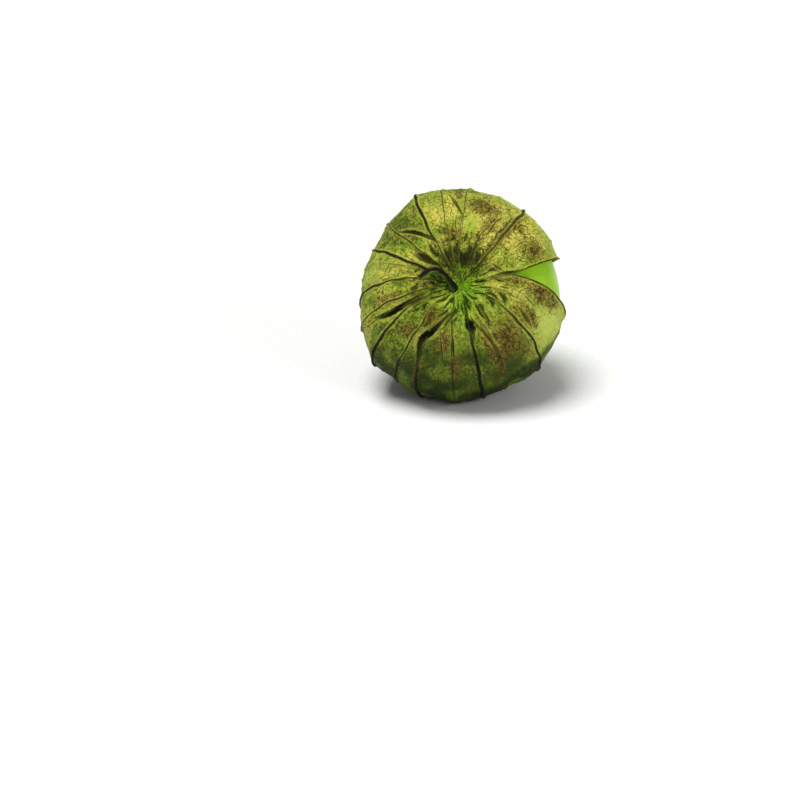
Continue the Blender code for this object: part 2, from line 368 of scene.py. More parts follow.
def new_material(
    name: str, values: dict[str, Any]
) -> tuple[bpy.types.Material, bpy.types.NodeTree, bpy.types.Node]:
    """A material with only a Principled shader on its output, its constant values on the shader's own sockets.

    Args:
        name: What the material is.
        values: Shader input name to value.

    Returns:
        The material, its node tree and its shader.
    """
    material = bpy.data.materials.new(name)
    material.use_nodes = True
    shader = material.node_tree.nodes["Principled BSDF"]
    for key, value in values.items():
        shader.inputs[key].default_value = value
    return material, material.node_tree, shader


# Of these, depth, shade and streak carry painted shade, and sap partly painted light.
HUSK_MARKS = (
    "line_gap", "line_ink", "bruise", "yellowing", "paleness", "sap", "dry_edge", "inside", "shade", "depth",
    "streak", "lie_x", "lie_y", "lie_z",
)


@dataclass(frozen=True)
class HuskFinish:
    """Dry calyx: thin matt parchment, ribs and veins dark, green where sappy and brown where bruised, with
    painted light and shade.
    """

    green: str = "#8ba42a"
    yellow: str = "#d8cb5a"
    lime: str = "#a1b935"
    olive: str = "#4d5a1c"
    underside_green_and_shade: str = "#354b14"
    deep: str = "#0e1a06"
    pale: str = "#c6d462"
    sappy: str = "#71a31a"
    brown: str = "#7e6829"
    dark_brown: str = "#3f3010"
    vein: str = "#262b0b"
    gilt_and_painted_highlight: str = "#d2cf55"
    crease: str = "#333a10"
    fleck: str = "#434a17"
    rib: str = "#070a03"
    inner: str = "#b4b86a"
    values: tuple[tuple[str, Any], ...] = (
        ("Roughness", 0.7),
        ("Specular IOR Level", 0.07),
        ("Subsurface Weight", 0.05),
        ("Subsurface Radius", (0.9, 1.0, 0.3)),
        ("Subsurface Scale", 0.0008),
    )

    def layers(self) -> tuple[Layer, ...]:
        """The tints from the ground colour up.

        Returns:
            Mottles, flecks partly as painted highlights, sap partly as painted light, painted shade, net,
            bruises, creases with painted shade and highlights, and ribs with painted highlights beside them.
        """
        return (
            Layer(self.yellow, {"yellowing": 1.0, "patches": 1.8, "mottles": 1.8, "flecks": 1.0}, 2.1, 2.8),
            Layer(self.lime, {"patches": -1.0, "mottles": 2.4}, 0.72, 1.0, 0.75),
            Layer(self.olive, {"yellowing": 0.8, "patches": 1.4, "mottles": 2.4, "flecks": 1.2}, 2.4, 1.8, 0.9),
            Layer(self.fleck, {"flecks": 1.0, "mottles": 0.6}, 0.88, 1.08, 0.75),
            # Pale gold flecks, partly painted highlights of the papery relief.
            Layer(self.gilt_and_painted_highlight, {"flecks": -1.0, "mottles": -0.5}, -0.66, -0.52, 0.55),
            Layer(self.pale, {"paleness": 1.0, "mottles": 0.4}, 0.15, 1.0, 0.9),
            # Sappy green, partly painted light on the lower wall of the stalk's hollow.
            Layer(self.sappy, {"sap": 1.0, "mottles": 0.8, "flecks": 0.5}, 0.7, 1.5, 0.9),
            # Painted shade low on the fruit as it lies, in two steps of darker green, partly the underside's own
            # darker green.
            Layer(self.underside_green_and_shade, {"depth": 1.0, "patches": 0.6}, 0.3, 1.1, 0.96),
            Layer(self.deep, {"depth": 1.0, "mottles": 2.2, "flecks": 1.0}, 1.9, 2.8, 0.9),
            Layer(self.vein, {"net": 1.0, "flecks": 0.16}, 0.19, 0.07, 0.75, ("net_here", "plain")),
            Layer(self.vein, {"fine_net": 1.0, "flecks": 0.3}, 0.30, 0.13, 0.6, ("fine_here", "plain")),
            Layer(self.brown, {"bruise": 1.0, "flecks": 1.0, "mottles": 1.3}, 1.3, 2.0, 0.82),
            Layer(self.dark_brown, {"net": -3.5, "bruise": 0.6, "flecks": 0.9}, 0.35, 0.85, 0.85, ("bruised",)),
            Layer(
                self.dark_brown, {"fine_net": -2.5, "bruise": 0.6, "flecks": 0.9}, 0.4, 0.95, 0.75, ("bruised",)
            ),
            # Painted highlights beside the creases, kept off the painted shade low on the fruit, then painted
            # shade in the sunk crease lines.
            Layer(self.gilt_and_painted_highlight, {"creases": 1.0, "flecks": 0.2}, 0.26, 0.17, 0.35, ("creased", "lit")),
            Layer(self.crease, {"creases": 1.0, "flecks": 0.12}, 0.13, 0.07, 0.85, ("creased", "dry", "plain")),
            # Painted shade in the sunk radial folds round the stalk.
            Layer(self.vein, {"streak": 1.0, "flecks": 0.8}, 0.65, 1.2, 0.85),
            # Painted shade on the hollow's upper rim and a painted shadow under the stalk's foot.
            Layer(self.vein, {"shade": 1.0, "flecks": 1.4, "mottles": 1.0}, 1.3, 2.1, 0.9),
            Layer(self.brown, {"dry_edge": 1.0, "flecks": 1.0}, 0.85, 1.4, 0.8),
            Layer(self.inner, {"inside": 1.0}, 0.0, 1.0),
            # Painted highlights beside the dark lines, kept off the painted shade low on the fruit and off sappy
            # parts.
            Layer(self.gilt_and_painted_highlight, {"line_gap": 1.0, "flecks": 2.0}, 3.8, 2.6, 0.35, ("line_ink", "lit", "dry")),
            # Ribs and strokes dark; a stroke's dark is partly painted shade in its fold.
            Layer(self.rib, {"line_gap": 1.0, "flecks": 0.7}, 1.65, 1.2, 1.0, ("line_ink",)),
        )

    def material(self) -> bpy.types.Material:
        """The husk's finish: mottled colour from the mesh's marks, broken up by a two-level net of veins.

        Returns:
            The new material.
        """
        material, tree, shader = new_material("parchment calyx", dict(self.values))
        place = add(tree, "TexCoord", out="Object")
        sockets = {name: add(tree, "Attribute", out="Fac", attribute_name=name) for name in HUSK_MARKS}
        # Patches 5 mm, mottles 1.6 mm and flecks 0.7 mm across, in cycles a metre, as on a real calyx.
        for name, scale, detail in (("patches", 200.0, 4.0), ("mottles", 620.0, 3.0), ("flecks", 1400.0, 2.0)):
            noise = {"Vector": place, "Scale": scale, "Detail": detail, "Roughness": 0.62}
            sockets[name] = add(tree, "TexNoise", noise)
        # Veins enclose cells of 1.7 mm and finer ones of 0.8 mm, bent out of true by about half a millimetre.
        bend = add(tree, "TexNoise", {"Vector": place, "Scale": 700.0, "Detail": 2.0}, out="Color")
        push = add(tree, "VectorMath", {0: bend, "Scale": 0.0011}, operation="SCALE")
        bent = add(tree, "VectorMath", {0: place, 1: push}, operation="ADD")
        for name, scale in (("net", 590.0), ("fine_net", 1250.0)):
            cells = {"Vector": bent, "Scale": scale}
            sockets[name] = add(tree, "TexVoronoi", cells, out="Distance", feature="DISTANCE_TO_EDGE")
        # Creases enclose cells 2.8 mm wide and 7 mm long, laid along the fruit by the three lie marks.
        lie = add(tree, "CombineXYZ", {axis: sockets["lie_" + axis.lower()] for axis in "XYZ"})
        sway = add(tree, "VectorMath", {0: bend, "Scale": 1.6}, operation="SCALE")
        swayed = add(tree, "VectorMath", {0: lie, 1: sway}, operation="ADD")
        folds = {"Vector": swayed, "Scale": 0.36}
        sockets["creases"] = add(tree, "TexVoronoi", folds, out="Distance", feature="DISTANCE_TO_EDGE")
        # Where each of them shows: a share that follows a mark or a noise from low to high.
        for name, value, low, high in (
            ("net_here", "patches", 0.66, 0.40),
            ("fine_here", "mottles", 0.66, 0.42),
            ("plain", "paleness", 0.9, 0.1),
            ("bruised", "bruise", 0.05, 0.5),
            ("creased", "patches", 0.47, 0.54),
            # lit is where no painted shade lies low on the fruit, so that painted highlights show only there.
            ("lit", "depth", 0.5, 0.1),
            ("dry", "sap", 0.5, 0.1),
        ):
            ends = {1: min(low, high), 2: max(low, high), 3: float(low > high), 4: float(low < high)}
            spread = {0: sockets[value], **ends}
            sockets[name] = add(tree, "MapRange", spread, interpolation_type="SMOOTHSTEP")
        tree.links.new(layered(tree, self.green, self.layers(), sockets), shader.inputs["Base Color"])
        # The bump rises over each vein and sinks in each crease, within 0.3 of a cell, over a light grain.
        weights = {"net": -2.0, "fine_net": -0.8, "creases": 2.0, "flecks": 0.8, "mottles": 0.9}
        height: Any = 0.0
        for name, weight in weights.items():
            level = sockets[name]
            if name not in ("flecks", "mottles"):
                level = add(tree, "Math", {0: level, 1: 0.3}, operation="MINIMUM")
            height = add(tree, "Math", {0: level, 1: weight, 2: height}, operation="MULTIPLY_ADD")
        bump = add(tree, "Bump", {"Strength": 0.8, "Distance": 0.00035, "Height": height})
        tree.links.new(bump, shader.inputs["Normal"])
        return material


@dataclass(frozen=True)
class BerryFinish:
    """Ripe green tomatillo skin: smooth and waxy, so it has a soft gloss, with pale pin-prick specks."""

    green: str = "#92c61c"
    light: str = "#acd83a"
    deep: str = "#7db116"
    speck: str = "#c9e07e"
    scar: str = "#6f6a2a"
    values: tuple[tuple[str, Any], ...] = (
        ("Roughness", 0.36),
        ("Specular IOR Level", 0.09),
        ("Subsurface Weight", 0.06),
        ("Subsurface Radius", (0.9, 1.0, 0.15)),
        ("Subsurface Scale", 0.002),
        ("Coat Weight", 0.01),
        ("Coat Roughness", 0.14),
    )

    def material(self) -> bpy.types.Material:
        """The berry's finish: soft clouds of green, fine specks, and a soft gloss over light that soaks in.

        Returns:
            The new material.
        """
        material, tree, shader = new_material("waxy berry skin", dict(self.values))
        place = add(tree, "TexCoord", out="Object")
        sockets = {
            "scar": add(tree, "Attribute", out="Fac", attribute_name="scar"),
            # Clouds 10 mm across and specks 1.6 mm apart.
            "clouds": add(tree, "TexNoise", {"Vector": place, "Scale": 90.0, "Detail": 3.0}),
            "specks": add(tree, "TexVoronoi", {"Vector": place, "Scale": 620.0}, out="Distance"),
        }
        layers = (
            Layer(self.light, {"clouds": 1.0}, 0.4, 0.7),
            Layer(self.deep, {"clouds": 1.0}, 0.45, 0.25, 0.6),
            Layer(self.speck, {"specks": 1.0}, 0.17, 0.08, 0.5),
            Layer(self.scar, {"scar": 1.0}, 0.0, 1.0),
        )
        tree.links.new(layered(tree, self.green, layers, sockets), shader.inputs["Base Color"])
        bump = add(tree, "Bump", {"Strength": 0.15, "Distance": 0.0001, "Height": sockets["specks"]})
        tree.links.new(bump, shader.inputs["Normal"])
        return material


@dataclass(frozen=True)
class StalkFinish:
    """Drying fruit stalk: purple-black where the sun reached it, green beneath, with fibres along it."""

    dark: str = "#0f090a"
    green: str = "#51701f"
    fibre: str = "#6d7440"
    cut: str = "#8d7c4e"

    def material(self) -> bpy.types.Material:
        """The stalk's finish: two colours parted by height round it, drawn out into fibres along it.

        Returns:
            The new material.
        """
        material, tree, shader = new_material("drying stalk", {"Roughness": 0.7, "Specular IOR Level": 0.12})
        names = ("under", "around", "along", "end")
        sockets = {name: add(tree, "Attribute", out="Fac", attribute_name=name) for name in names}
        path = add(tree, "CombineXYZ", {"X": sockets["around"], "Y": sockets["along"]})
        # Fibres 0.15 mm wide and about 2 mm long: the marks are turns around and millimetres along.
        stretch = add(tree, "Mapping", {"Vector": path, "Scale": (34.0, 0.6, 1.0)})
        sockets["fibres"] = add(tree, "TexNoise", {"Vector": stretch, "Scale": 1.0, "Detail": 3.0})
        layers = (
            Layer(self.green, {"under": 1.0, "fibres": 0.6, "along": 0.03}, 0.95, 1.35),
            Layer(self.fibre, {"fibres": 1.0}, 0.58, 0.72, 0.3),
            Layer(self.cut, {"end": 1.0}, 0.0, 1.0),
        )
        tree.links.new(layered(tree, self.dark, layers, sockets), shader.inputs["Base Color"])
        bump = add(tree, "Bump", {"Strength": 0.5, "Distance": 0.00012, "Height": sockets["fibres"]})
        tree.links.new(bump, shader.inputs["Normal"])
        return material


@dataclass(frozen=True)
class Rib:
    """A rib of the husk, which lifts the sheet off the berry.

    Bearing, drift and turn are degrees: half way to the equator, gained by the equator, gained at the root.
    Lift and ridge are millimetres: how far it holds the sheet off the berry, and how high its own ridge is.
    Width is half of its dark line in millimetres, and ink how dark that line is at the stalk end, half way
    to the equator and there.
    """

    bearing: float
    drift: float
    turn: float
    lift: float
    ridge: float
    width: float
    ink: tuple[float, float, float]


@dataclass(frozen=True)
class Stroke:
    """A short dark fold off the ribs, its ink partly dark vein colour and partly painted shade in the fold:
    knots of polar angle, bearing and half width, with its ink and depth.
    """

    knots: tuple[tuple[float, float, float], ...]
    ink: float
    depth: float


@dataclass(frozen=True)
class Patch:
    """A soft oval patch: its place, its half widths across and along in millimetres, its tilt and strength."""

    bearing: float
    polar: float
    across: float
    along: float
    tilt: float
    strength: float


def patches(*rows: tuple[float, float, float, float, float, float]) -> tuple[Patch, ...]:
    """Patches from rows of their six numbers, in the order of their fields."""
    return tuple(Patch(*row) for row in rows)


EDGE = Rib(0.0, 0.0, 0.0, 0.25, 0.3, 0.3, (0.4, 0.9, 0.8))
RIBS: tuple[Rib, ...] = (
    Rib(31, 1, -3, 1.2, 0.15, 0.2, (0.1, 0.15, 0.3)),
    Rib(50, 5, -4, 1.1, 0.40, 0.35, (0.6, 0.75, 0.95)),
    Rib(69, 1, 0, 0.8, 0.12, 0.15, (0.3, 0.3, 0.1)),
    Rib(88, -4, 2, 0.8, 0.35, 0.24, (0.2, 0.5, 0.95)),
    Rib(103, -3, 2, 0.8, 0.22, 0.18, (0.4, 0.7, 0.75)),
    Rib(119, -5, 3, 1.4, 0.45, 0.28, (0.7, 0.95, 0.95)),
    Rib(141, -5, -6, 0.3, 0.30, 0.2, (0.6, 0.8, 0.85)),
    Rib(157, -4, -2, 0.1, 0.42, 0.3, (0.8, 0.95, 0.9)),
    Rib(164, 2, -4, 0.2, 0.18, 0.16, (0.5, 0.6, 0.5)),
    Rib(178, 7, 2, 0.5, 0.45, 0.28, (0.6, 0.9, 1.0)),
    Rib(195, 4, -2, 0.8, 0.25, 0.2, (0.7, 0.85, 0.8)),
    Rib(203, -3, -3, 0.6, 0.30, 0.3, (0.5, 0.8, 0.2)),
    Rib(210, 8, -3, 2.0, 0.45, 0.3, (0.5, 0.9, 1.0)),
    Rib(230, 3, -10, 0.6, 0.32, 0.24, (0.5, 0.85, 0.8)),
    Rib(239, 9, 12, 0.7, 0.45, 0.4, (0.0, 0.6, 0.95)),
    Rib(265, 3, -6, 0.4, 0.25, 0.18, (0.3, 0.7, 0.5)),
    Rib(282, 1, 3, 0.2, 0.45, 0.3, (0.7, 0.95, 0.95)),
    Rib(300, -4, -10, 0.2, 0.30, 0.3, (0.3, 0.5, 0.3)),
    Rib(326, -8, 5, 0.5, 0.42, 0.28, (0.5, 0.9, 0.95)),
    Rib(345, -5, 6, 0.05, 0.18, 0.18, (0.4, 0.3, 0.15)),
)
# The strokes' ink is partly dark vein colour and partly painted shade in their folds.
STROKES: tuple[Stroke, ...] = (
    Stroke(((56, 140, 0.15), (50, 136, 0.45), (44, 131.5, 0.5), (34, 125, 0.45), (26, 117, 0.3)), 0.95, 0.45),
    Stroke(((35, 148.5, 0.4), (30, 147.5, 0.9), (24, 145, 0.8), (18, 139, 0.35)), 0.9, 0.5),
    Stroke(((64, 199, 0.15), (56, 201.5, 0.55), (44, 203, 0.7), (31, 201, 0.6), (22, 199, 0.35)), 1.0, 0.55),
    Stroke(
        ((62, 242.5, 0.3), (51, 240, 0.65), (42, 236.5, 0.8), (35, 241, 0.75), (28, 246, 0.5), (19, 255, 0.3)),
        1.0, 0.6,
    ),
    Stroke(
        (
            (17, 280.5, 0.2), (23, 281, 0.5), (26.5, 282.5, 1.0),
            (29.5, 285, 1.1), (33, 285, 0.5), (39, 283.5, 0.35),
        ),
        1.0, 0.6,
    ),
    Stroke(
        ((28, 287, 0.8), (32, 294, 0.5), (40, 298, 0.45), (46, 299.5, 0.55), (51, 299.5, 0.5), (60, 298, 0.25)),
        0.75, 0.3,
    ),
    Stroke(((30, 306, 0.12), (24, 303, 0.35), (14, 308, 0.25)), 0.9, 0.25),
    Stroke(((67, 98.5, 0.2), (56, 95, 0.45), (48, 91.5, 0.4), (41, 88, 0.2)), 0.8, 0.2),
    Stroke(((54, 259, 0.12), (44, 256, 0.22), (37, 252, 0.2), (30, 247, 0.12)), 0.7, 0.0),
    Stroke(((50, 267, 0.15), (42, 265, 0.25), (34, 263, 0.22), (22, 257, 0.15)), 0.9, 0.1),
    Stroke(((58, 275, 0.12), (43, 277, 0.2), (34, 279, 0.12)), 0.6, 0.0),
    Stroke(((37, 339, 0.2), (42, 336, 0.4), (46, 333.5, 0.6), (50, 331.5, 0.45), (55, 328, 0.2)), 0.75, 0.25),
    Stroke(((38, 352, 0.14), (44, 347, 0.3), (50, 344, 0.16)), 0.75, 0.2),
    Stroke(((22, 34, 0.15), (26, 22, 0.35), (30, 13, 0.25)), 0.7, 0.3),
    Stroke(((20, 11, 0.3), (28, 12, 0.5), (34, 12, 0.4), (40, 13.5, 0.25)), 0.95, 0.3),
    Stroke(((55, 58, 0.14), (50, 60, 0.36), (45, 61.5, 0.18), (40, 61.5, 0.34), (33, 62, 0.14)), 0.8, 0.3),
    Stroke(((49, 45, 0.14), (55, 46.5, 0.32), (60, 43.5, 0.34), (58, 39.5, 0.14)), 0.75, 0.25),
    Stroke(((49, 42, 0.1), (53, 40, 0.22), (57, 38.5, 0.12)), 0.75, 0.15),
    Stroke(((36, 33, 0.12), (42, 34.5, 0.2), (48, 35, 0.2), (55, 33.5, 0.1)), 0.7, 0.2),
    Stroke(((64, 96.5, 0.1), (53, 96, 0.16), (45, 98, 0.18), (36, 102, 0.12)), 0.6, 0.2),
    Stroke(((49, 92, 0.1), (38, 95, 0.22), (29, 94, 0.16)), 0.7, 0.25),
    Stroke(((44, 66, 0.1), (37, 66, 0.22), (29, 68, 0.16)), 0.7, 0.25),
)
# Brown bruises.
BRUISES = patches(
    (73, 53, 5.4, 4.0, 0, 0.85), (64, 42, 2.6, 5.0, 0, 0.75), (45, 53, 2.2, 2.0, 0, 0.8),
    (28, 52, 3.8, 4.6, 20, 0.9), (50, 44, 1.5, 9.0, 0, 1.35), (355, 55, 3.4, 8.0, 14, 0.95),
    (2, 36, 2.0, 4.0, 0, 0.8), (232, 27, 3.6, 2.6, 0, 0.7), (180, 62, 1.8, 4.0, 0, 0.6),
    (335, 46, 2.2, 4.6, 10, 1.2), (310, 46, 5.4, 6.6, 0, 0.9), (297, 46, 1.8, 8.0, -5, 0.95),
    (318, 62, 3.0, 5.0, 0, 0.5), (192, 48, 2.0, 6.5, 0, 0.75), (222, 44, 2.0, 2.6, 0, 0.85),
    (255, 38, 2.0, 4.0, 0, 0.75), (268, 52, 2.6, 5.0, 0, 0.5), (100, 30, 4.0, 2.8, 0, 0.75),
    (72, 28, 3.0, 2.8, 0, 0.6), (92, 66, 1.2, 5.0, 0, 0.8), (133, 44, 1.8, 2.4, 0, 0.6),
    (243, 62, 1.4, 5.0, 0, 0.6),
)
# Parts dried to yellow.
YELLOWS = patches(
    (112, 46, 3.0, 6.0, 0, 0.45), (60, 50, 7.0, 7.0, 0, 0.5), (41, 43, 2.8, 4.5, 0, 0.9),
    (57, 42, 1.8, 4.5, 0, 0.9), (40, 58, 2.0, 3.0, 0, 0.5), (42, 62, 2.4, 3.4, 0, 0.7),
    (66, 60, 1.6, 3.0, 0, 0.6), (98, 52, 1.4, 5.0, 0, 0.6), (36, 66, 5.0, 5.0, 0, 0.35),
    (170, 55, 3.0, 7.0, 0, 0.1), (340, 40, 3.0, 8.0, 0, 0.4), (296, 66, 1.2, 6.0, 0, 0.35),
    (150, 38, 2.0, 5.0, 0, 0.3),
)
# Parts still a dull green, and at bearing 262 and polar 84 a broad patch of painted shade on the underside.
OLIVES = patches(
    (138, 62, 6.0, 9.0, 0, 1.1), (126, 42, 3.0, 5.0, 0, 0.6), (160, 78, 5.0, 7.0, 0, 0.5),
    (245, 52, 12.0, 13.0, 0, 0.75), (285, 62, 11.0, 12.0, 0, 0.75), (312, 46, 6.0, 8.0, 0, 0.5),
    (210, 44, 5.0, 9.0, 0, 0.5), (90, 72, 5.0, 4.0, 0, 0.4), (262, 84, 18.0, 6.0, 0, 0.7),
    (276, 31, 6.0, 4.0, 0, 0.4),
)
# Bright green parts, still sappy.
SAPS = patches(
    (80, 35, 2.0, 5.0, 0, 0.75), (282, 28, 3.0, 3.0, 0, 0.3),
)
# Pale parts without veins, towards the rim.
PALES = patches(
    (50, 88, 16.0, 8.0, 0, 0.9), (95, 92, 14.0, 7.0, 0, 0.6), (338, 76, 7.5, 12.0, 0, 0.95),
    (172, 66, 6.0, 7.0, 0, 0.4), (135, 85, 10.0, 7.0, 0, 0.5), (205, 85, 10.0, 7.0, 0, 0.4),
)


@dataclass
class Husk:
    """The husk: a thin sheet over the berry, lifted by ribs, pleated at the stalk end and burst down one side.

    Lengths are in millimetres and angles in degrees.
    """

    form: FruitForm
    pose: Pose
    # The solid husk's gap to the berry and its thickness, then the thickness drawn here: the wall within the
    # sheet, the wall at a free edge, how far from the edge it grows, the gap that it keeps to the berry, and how
    # gently it bends up from where it rests.
    clearance: float = 0.45
    sheet: float = 0.6
    wall: float = 0.38
    edge_wall: float = 0.24
    edge_reach: float = 4.0
    berry_gap: float = 0.25
    rounding: float = 0.5
    # How far panels sag between ribs, the pleats' depth, place and spread, and the torn edges' curl and reach.
    slack: float = 0.7
    pleat: tuple[float, float, float] = (0.9, 26.0, 12.0)
    curl: tuple[float, float] = (0.3, 7.0)
    # The split: its bearing at the stalk end and its drift by the equator, the polar angles where it starts and
    # is fully open, its half width, the power by which it opens, and the share by which it narrows again.
    split_bearing: float = 9.0
    split_drift: float = -3.5
    split_start: float = 33.0
    split_half_width: float = 9.2
    split_full_at: float = 95.0
    split_power: float = 1.05
    split_narrowing: float = 0.42
    # The mouth: its pointed lobes, the bearing of the first, the polar angles of the slits' ends and the tips,
    # how much the tips differ, the lobes' form, where rows begin to stretch, and how far the tips stand off.
    lobes: int = 5
    first_lobe: float = 45.0
    notch: float = 152.0
    tip: float = 176.5
    tip_spread: float = 4.0
    lobe_power: float = 0.3
    mouth_from: float = 130.0
    lobe_curl: float = 1.9
    # Columns stand at these distances from a rib, and this far apart between ribs.
    rib_columns: tuple[float, ...] = (0.0, 0.14, 0.32, 0.58)
    column_spacing: float = 0.44
    # Half widths of a ridge and of a fold, how far round a line they are worked out, and how much its gap grows
    # where its ink is faint.
    ridge_width: float = 0.32
    fold_width: float = 0.6
    line_reach: float = 3.0
    faintness: float = 0.9
    # Heights of the papery relief: sharp creases, broad buckles, fibres, and puckers round the stalk.
    crease: float = 0.16
    buckle: float = 0.20
    fibre: float = 0.035
    pucker: float = 0.16

    def split_half_angle(self, polar: np.ndarray) -> np.ndarray:
        """Half of the split's width: a power curve that levels off, then narrows a little.

        Args:
            polar: Polar angles.

        Returns:
            Half widths in degrees of bearing.
        """
        part = np.maximum(polar - self.split_start, 0.0) / (self.split_full_at - self.split_start)
        opened = (part / (1.0 + part**4) ** 0.25) ** self.split_power
        narrowed = 1.0 - self.split_narrowing * smooth_step(95.0, 165.0, polar)
        girth = self.form.radius * np.sin(np.radians(np.clip(polar, self.split_start, 155.0)))
        return np.degrees(self.split_half_width * opened * narrowed / girth)

    def rib_bearings(self, polar: np.ndarray) -> np.ndarray:
        """Bearing of every rib, which drifts on the way to the equator and turns towards the root.

        Args:
            polar: Polar angles.

        Returns:
            Bearings, ribs by angles, the split's edges first and last.
        """
        outward = np.clip((polar - 45.0) / 45.0, -0.6, 1.1)
        rooted = np.exp(-((polar / 25.0) ** 2))
        middle = self.split_bearing + self.split_drift * np.clip(outward, 0.0, 1.0)
        half = self.split_half_angle(polar)
        inner = [rib.bearing + rib.drift * outward + rib.turn * rooted for rib in RIBS]
        return np.array([middle + half, *inner, 360.0 + middle - half])

    @staticmethod
    def around(values: np.ndarray, place: np.ndarray) -> np.ndarray:
        """Values given at each rib, with a straight line between ribs.

        Args:
            values: One value or one row for each rib.
            place: Fractional rib numbers.

        Returns:
            The values there.
        """
        index = np.clip(np.floor(place).astype(int), 0, len(values) - 2)
        part = place - index
        return values[index] * (1.0 - part) + values[index + 1] * part

    def lobe(self, bearing: np.ndarray) -> tuple[np.ndarray, np.ndarray]:
        """Where a bearing lies in its lobe of the mouth.

        Args:
            bearing: Bearings.

        Returns:
            Share of the way from the nearest lobe's middle to the slit beside it, and the lobe's polar length.
        """
        turn = (bearing - self.first_lobe) / (360.0 / self.lobes)
        from_tip = 2.0 * np.abs(turn - np.round(turn))
        tip = self.tip - self.tip_spread * np.sin(np.radians(bearing - 20.0)) ** 2
        return from_tip, tip - self.notch

    def mouth(self, bearing: np.ndarray) -> np.ndarray:
        """Polar angle of the rim: narrow slits, and lobes that reach length * (1 - share)^0.3 past them."""
        from_tip, length = self.lobe(bearing)
        return self.notch + length * (1.0 - from_tip) ** self.lobe_power

    def columns(self) -> np.ndarray:
        """Places the grid's columns: close together beside each rib, evenly spread between.

        Returns:
            Their fractional rib numbers.
        """
        near = np.array(self.rib_columns)
        widths = np.diff(self.rib_bearings(np.array([70.0]))[:, 0]) * (DEGREE * self.form.radius)
        place: list[float] = []
        for i, width in enumerate(widths):
            inner = max(2, 2 * int(np.ceil((width - 2 * near[-1]) / self.column_spacing / 2.0)))
            middle = np.linspace(near[-1], width - near[-1], inner + 1)
            offsets = np.concatenate([near[:-1], middle, width - near[-2:0:-1]])
            place += (i + offsets / width).tolist()
        return np.array([*place, len(RIBS) + 1.0])

    def rows(self) -> np.ndarray:
        """Places the grid's rows, which are finest on the side that faces the stalk end.

        Returns:
            Their polar angles.
        """
        ends = (0.0, self.split_start, 72.0, 130.0, self.notch)
        parts = [np.linspace(*span)[1:] for span in zip(ends[:-1], ends[1:], (39, 45, 49, 41))]
        return np.concatenate([[0.0], *parts])

    def grid(self, place: np.ndarray, rows: np.ndarray) -> tuple[np.ndarray, np.ndarray]:
        """Polar angle and bearing of every point of the sheet, ribs along its columns, its last row on the rim.

        Args:
            place: Fractional rib numbers of the columns.
            rows: Polar angles of the rows, before the last ones are stretched to the rim.

        Returns:
            Polar angles and bearings, rows by columns.
        """
        lines = self.rib_bearings(rows)
        bearing = np.array([self.around(lines[:, j], place) for j in range(len(rows))])
        stretch = np.clip((rows[:, None] - self.mouth_from) / (rows[-1] - self.mouth_from), 0.0, 1.0)
        level = np.minimum(rows[:, None], self.mouth_from)
        polar = level + stretch * (self.mouth(bearing) - self.mouth_from)
        return polar, bearing

    @staticmethod
    def from_split(bearing: np.ndarray) -> np.ndarray:
        """Degrees of bearing from the nearer edge of the split, which are the grid's first and last columns."""
        return np.minimum(bearing - bearing[:, :1], bearing[:, -1:] - bearing)

    def edge_gap(self, polar: np.ndarray, bearing: np.ndarray) -> np.ndarray:
        """Distance from the nearest free edge: the split's, the rim's or a slit's between two lobes.

        Args:
            polar: Polar angles, rows by columns.
            bearing: Bearings, rows by columns.

        Returns:
            Distances in millimetres.
        """
        girth = self.form.radius * np.sin(np.radians(polar)) * DEGREE
        # Above its start the split has no edge, so the distance from it is put up by 40 mm there.
        whole = 1.0 - smooth_step(self.split_start, self.split_start + 3.0, polar)
        side = self.from_split(bearing) * girth + 40.0 * whole
        rim = (self.mouth(bearing) - polar) * DEGREE * self.form.polar_radius
        from_tip, length = self.lobe(bearing)
        past = np.clip((polar - self.notch) / length, 0.0, 1.0)
        beside = np.maximum(1.0 - past ** (1.0 / self.lobe_power) - from_tip, 0.0) * 180.0 / self.lobes * girth
        before = np.maximum(self.notch - polar, 0.0) * DEGREE * self.form.polar_radius
        return np.minimum(np.minimum(side, rim), np.hypot(beside, before))

    def lift(self, place: np.ndarray, polar: np.ndarray, bearing: np.ndarray) -> np.ndarray:
        """How far the sheet's inner side stands off the berry: tents, slack panels, pleats and curled edges.

        Args:
            place: Fractional rib numbers of the columns.
            polar: Polar angles, rows by columns.
            bearing: Bearings, rows by columns.

        Returns:
            Distances in millimetres.
        """
        ribs = [EDGE, *RIBS, EDGE]
        part = place - np.floor(place)
        between = 4.0 * part * (1.0 - part)
        open_out = smooth_step(14.0, 60.0, polar)
        tent = self.around(np.array([rib.lift for rib in ribs]), place) * open_out
        panel = np.minimum(np.floor(place), len(RIBS)).astype(int)
        spacing = np.diff(self.rib_bearings(np.array([60.0]))[:, 0])[panel]
        sagitta = self.form.radius * (1.0 - np.cos(np.radians(spacing / 2.0)))
        loose = self.slack * sagitta * between * open_out
        depth, angle, spread = self.pleat
        pleat = depth * np.exp(-(((polar - angle) / spread) ** 2)) * (1.0 - between)
        opened = smooth_step(self.split_start, 60.0, polar)
        edge = self.curl[0] * np.exp(-self.from_split(bearing) / self.curl[1]) * opened
        tips = self.lobe_curl * smooth_step(self.notch - 8.0, self.tip, polar)
        return self.clearance + np.maximum(tent - loose, 0.0) + pleat + edge + tips

    def lines(self) -> list[np.ndarray]:
        """Every dark line of the husk, ribs and strokes, a little uneven in width and course.

        Returns:
            For each line its points on the marks' ball, as rows of x, y, z, half width, ink, ridge height and
            fold depth.
        """
        made: list[np.ndarray] = []
        polar = np.concatenate([np.linspace(8.0, 60.0, 27), np.linspace(64.0, 176.0, 29)])
        for rib, bearing in zip([EDGE, *RIBS, EDGE], self.rib_bearings(polar)):
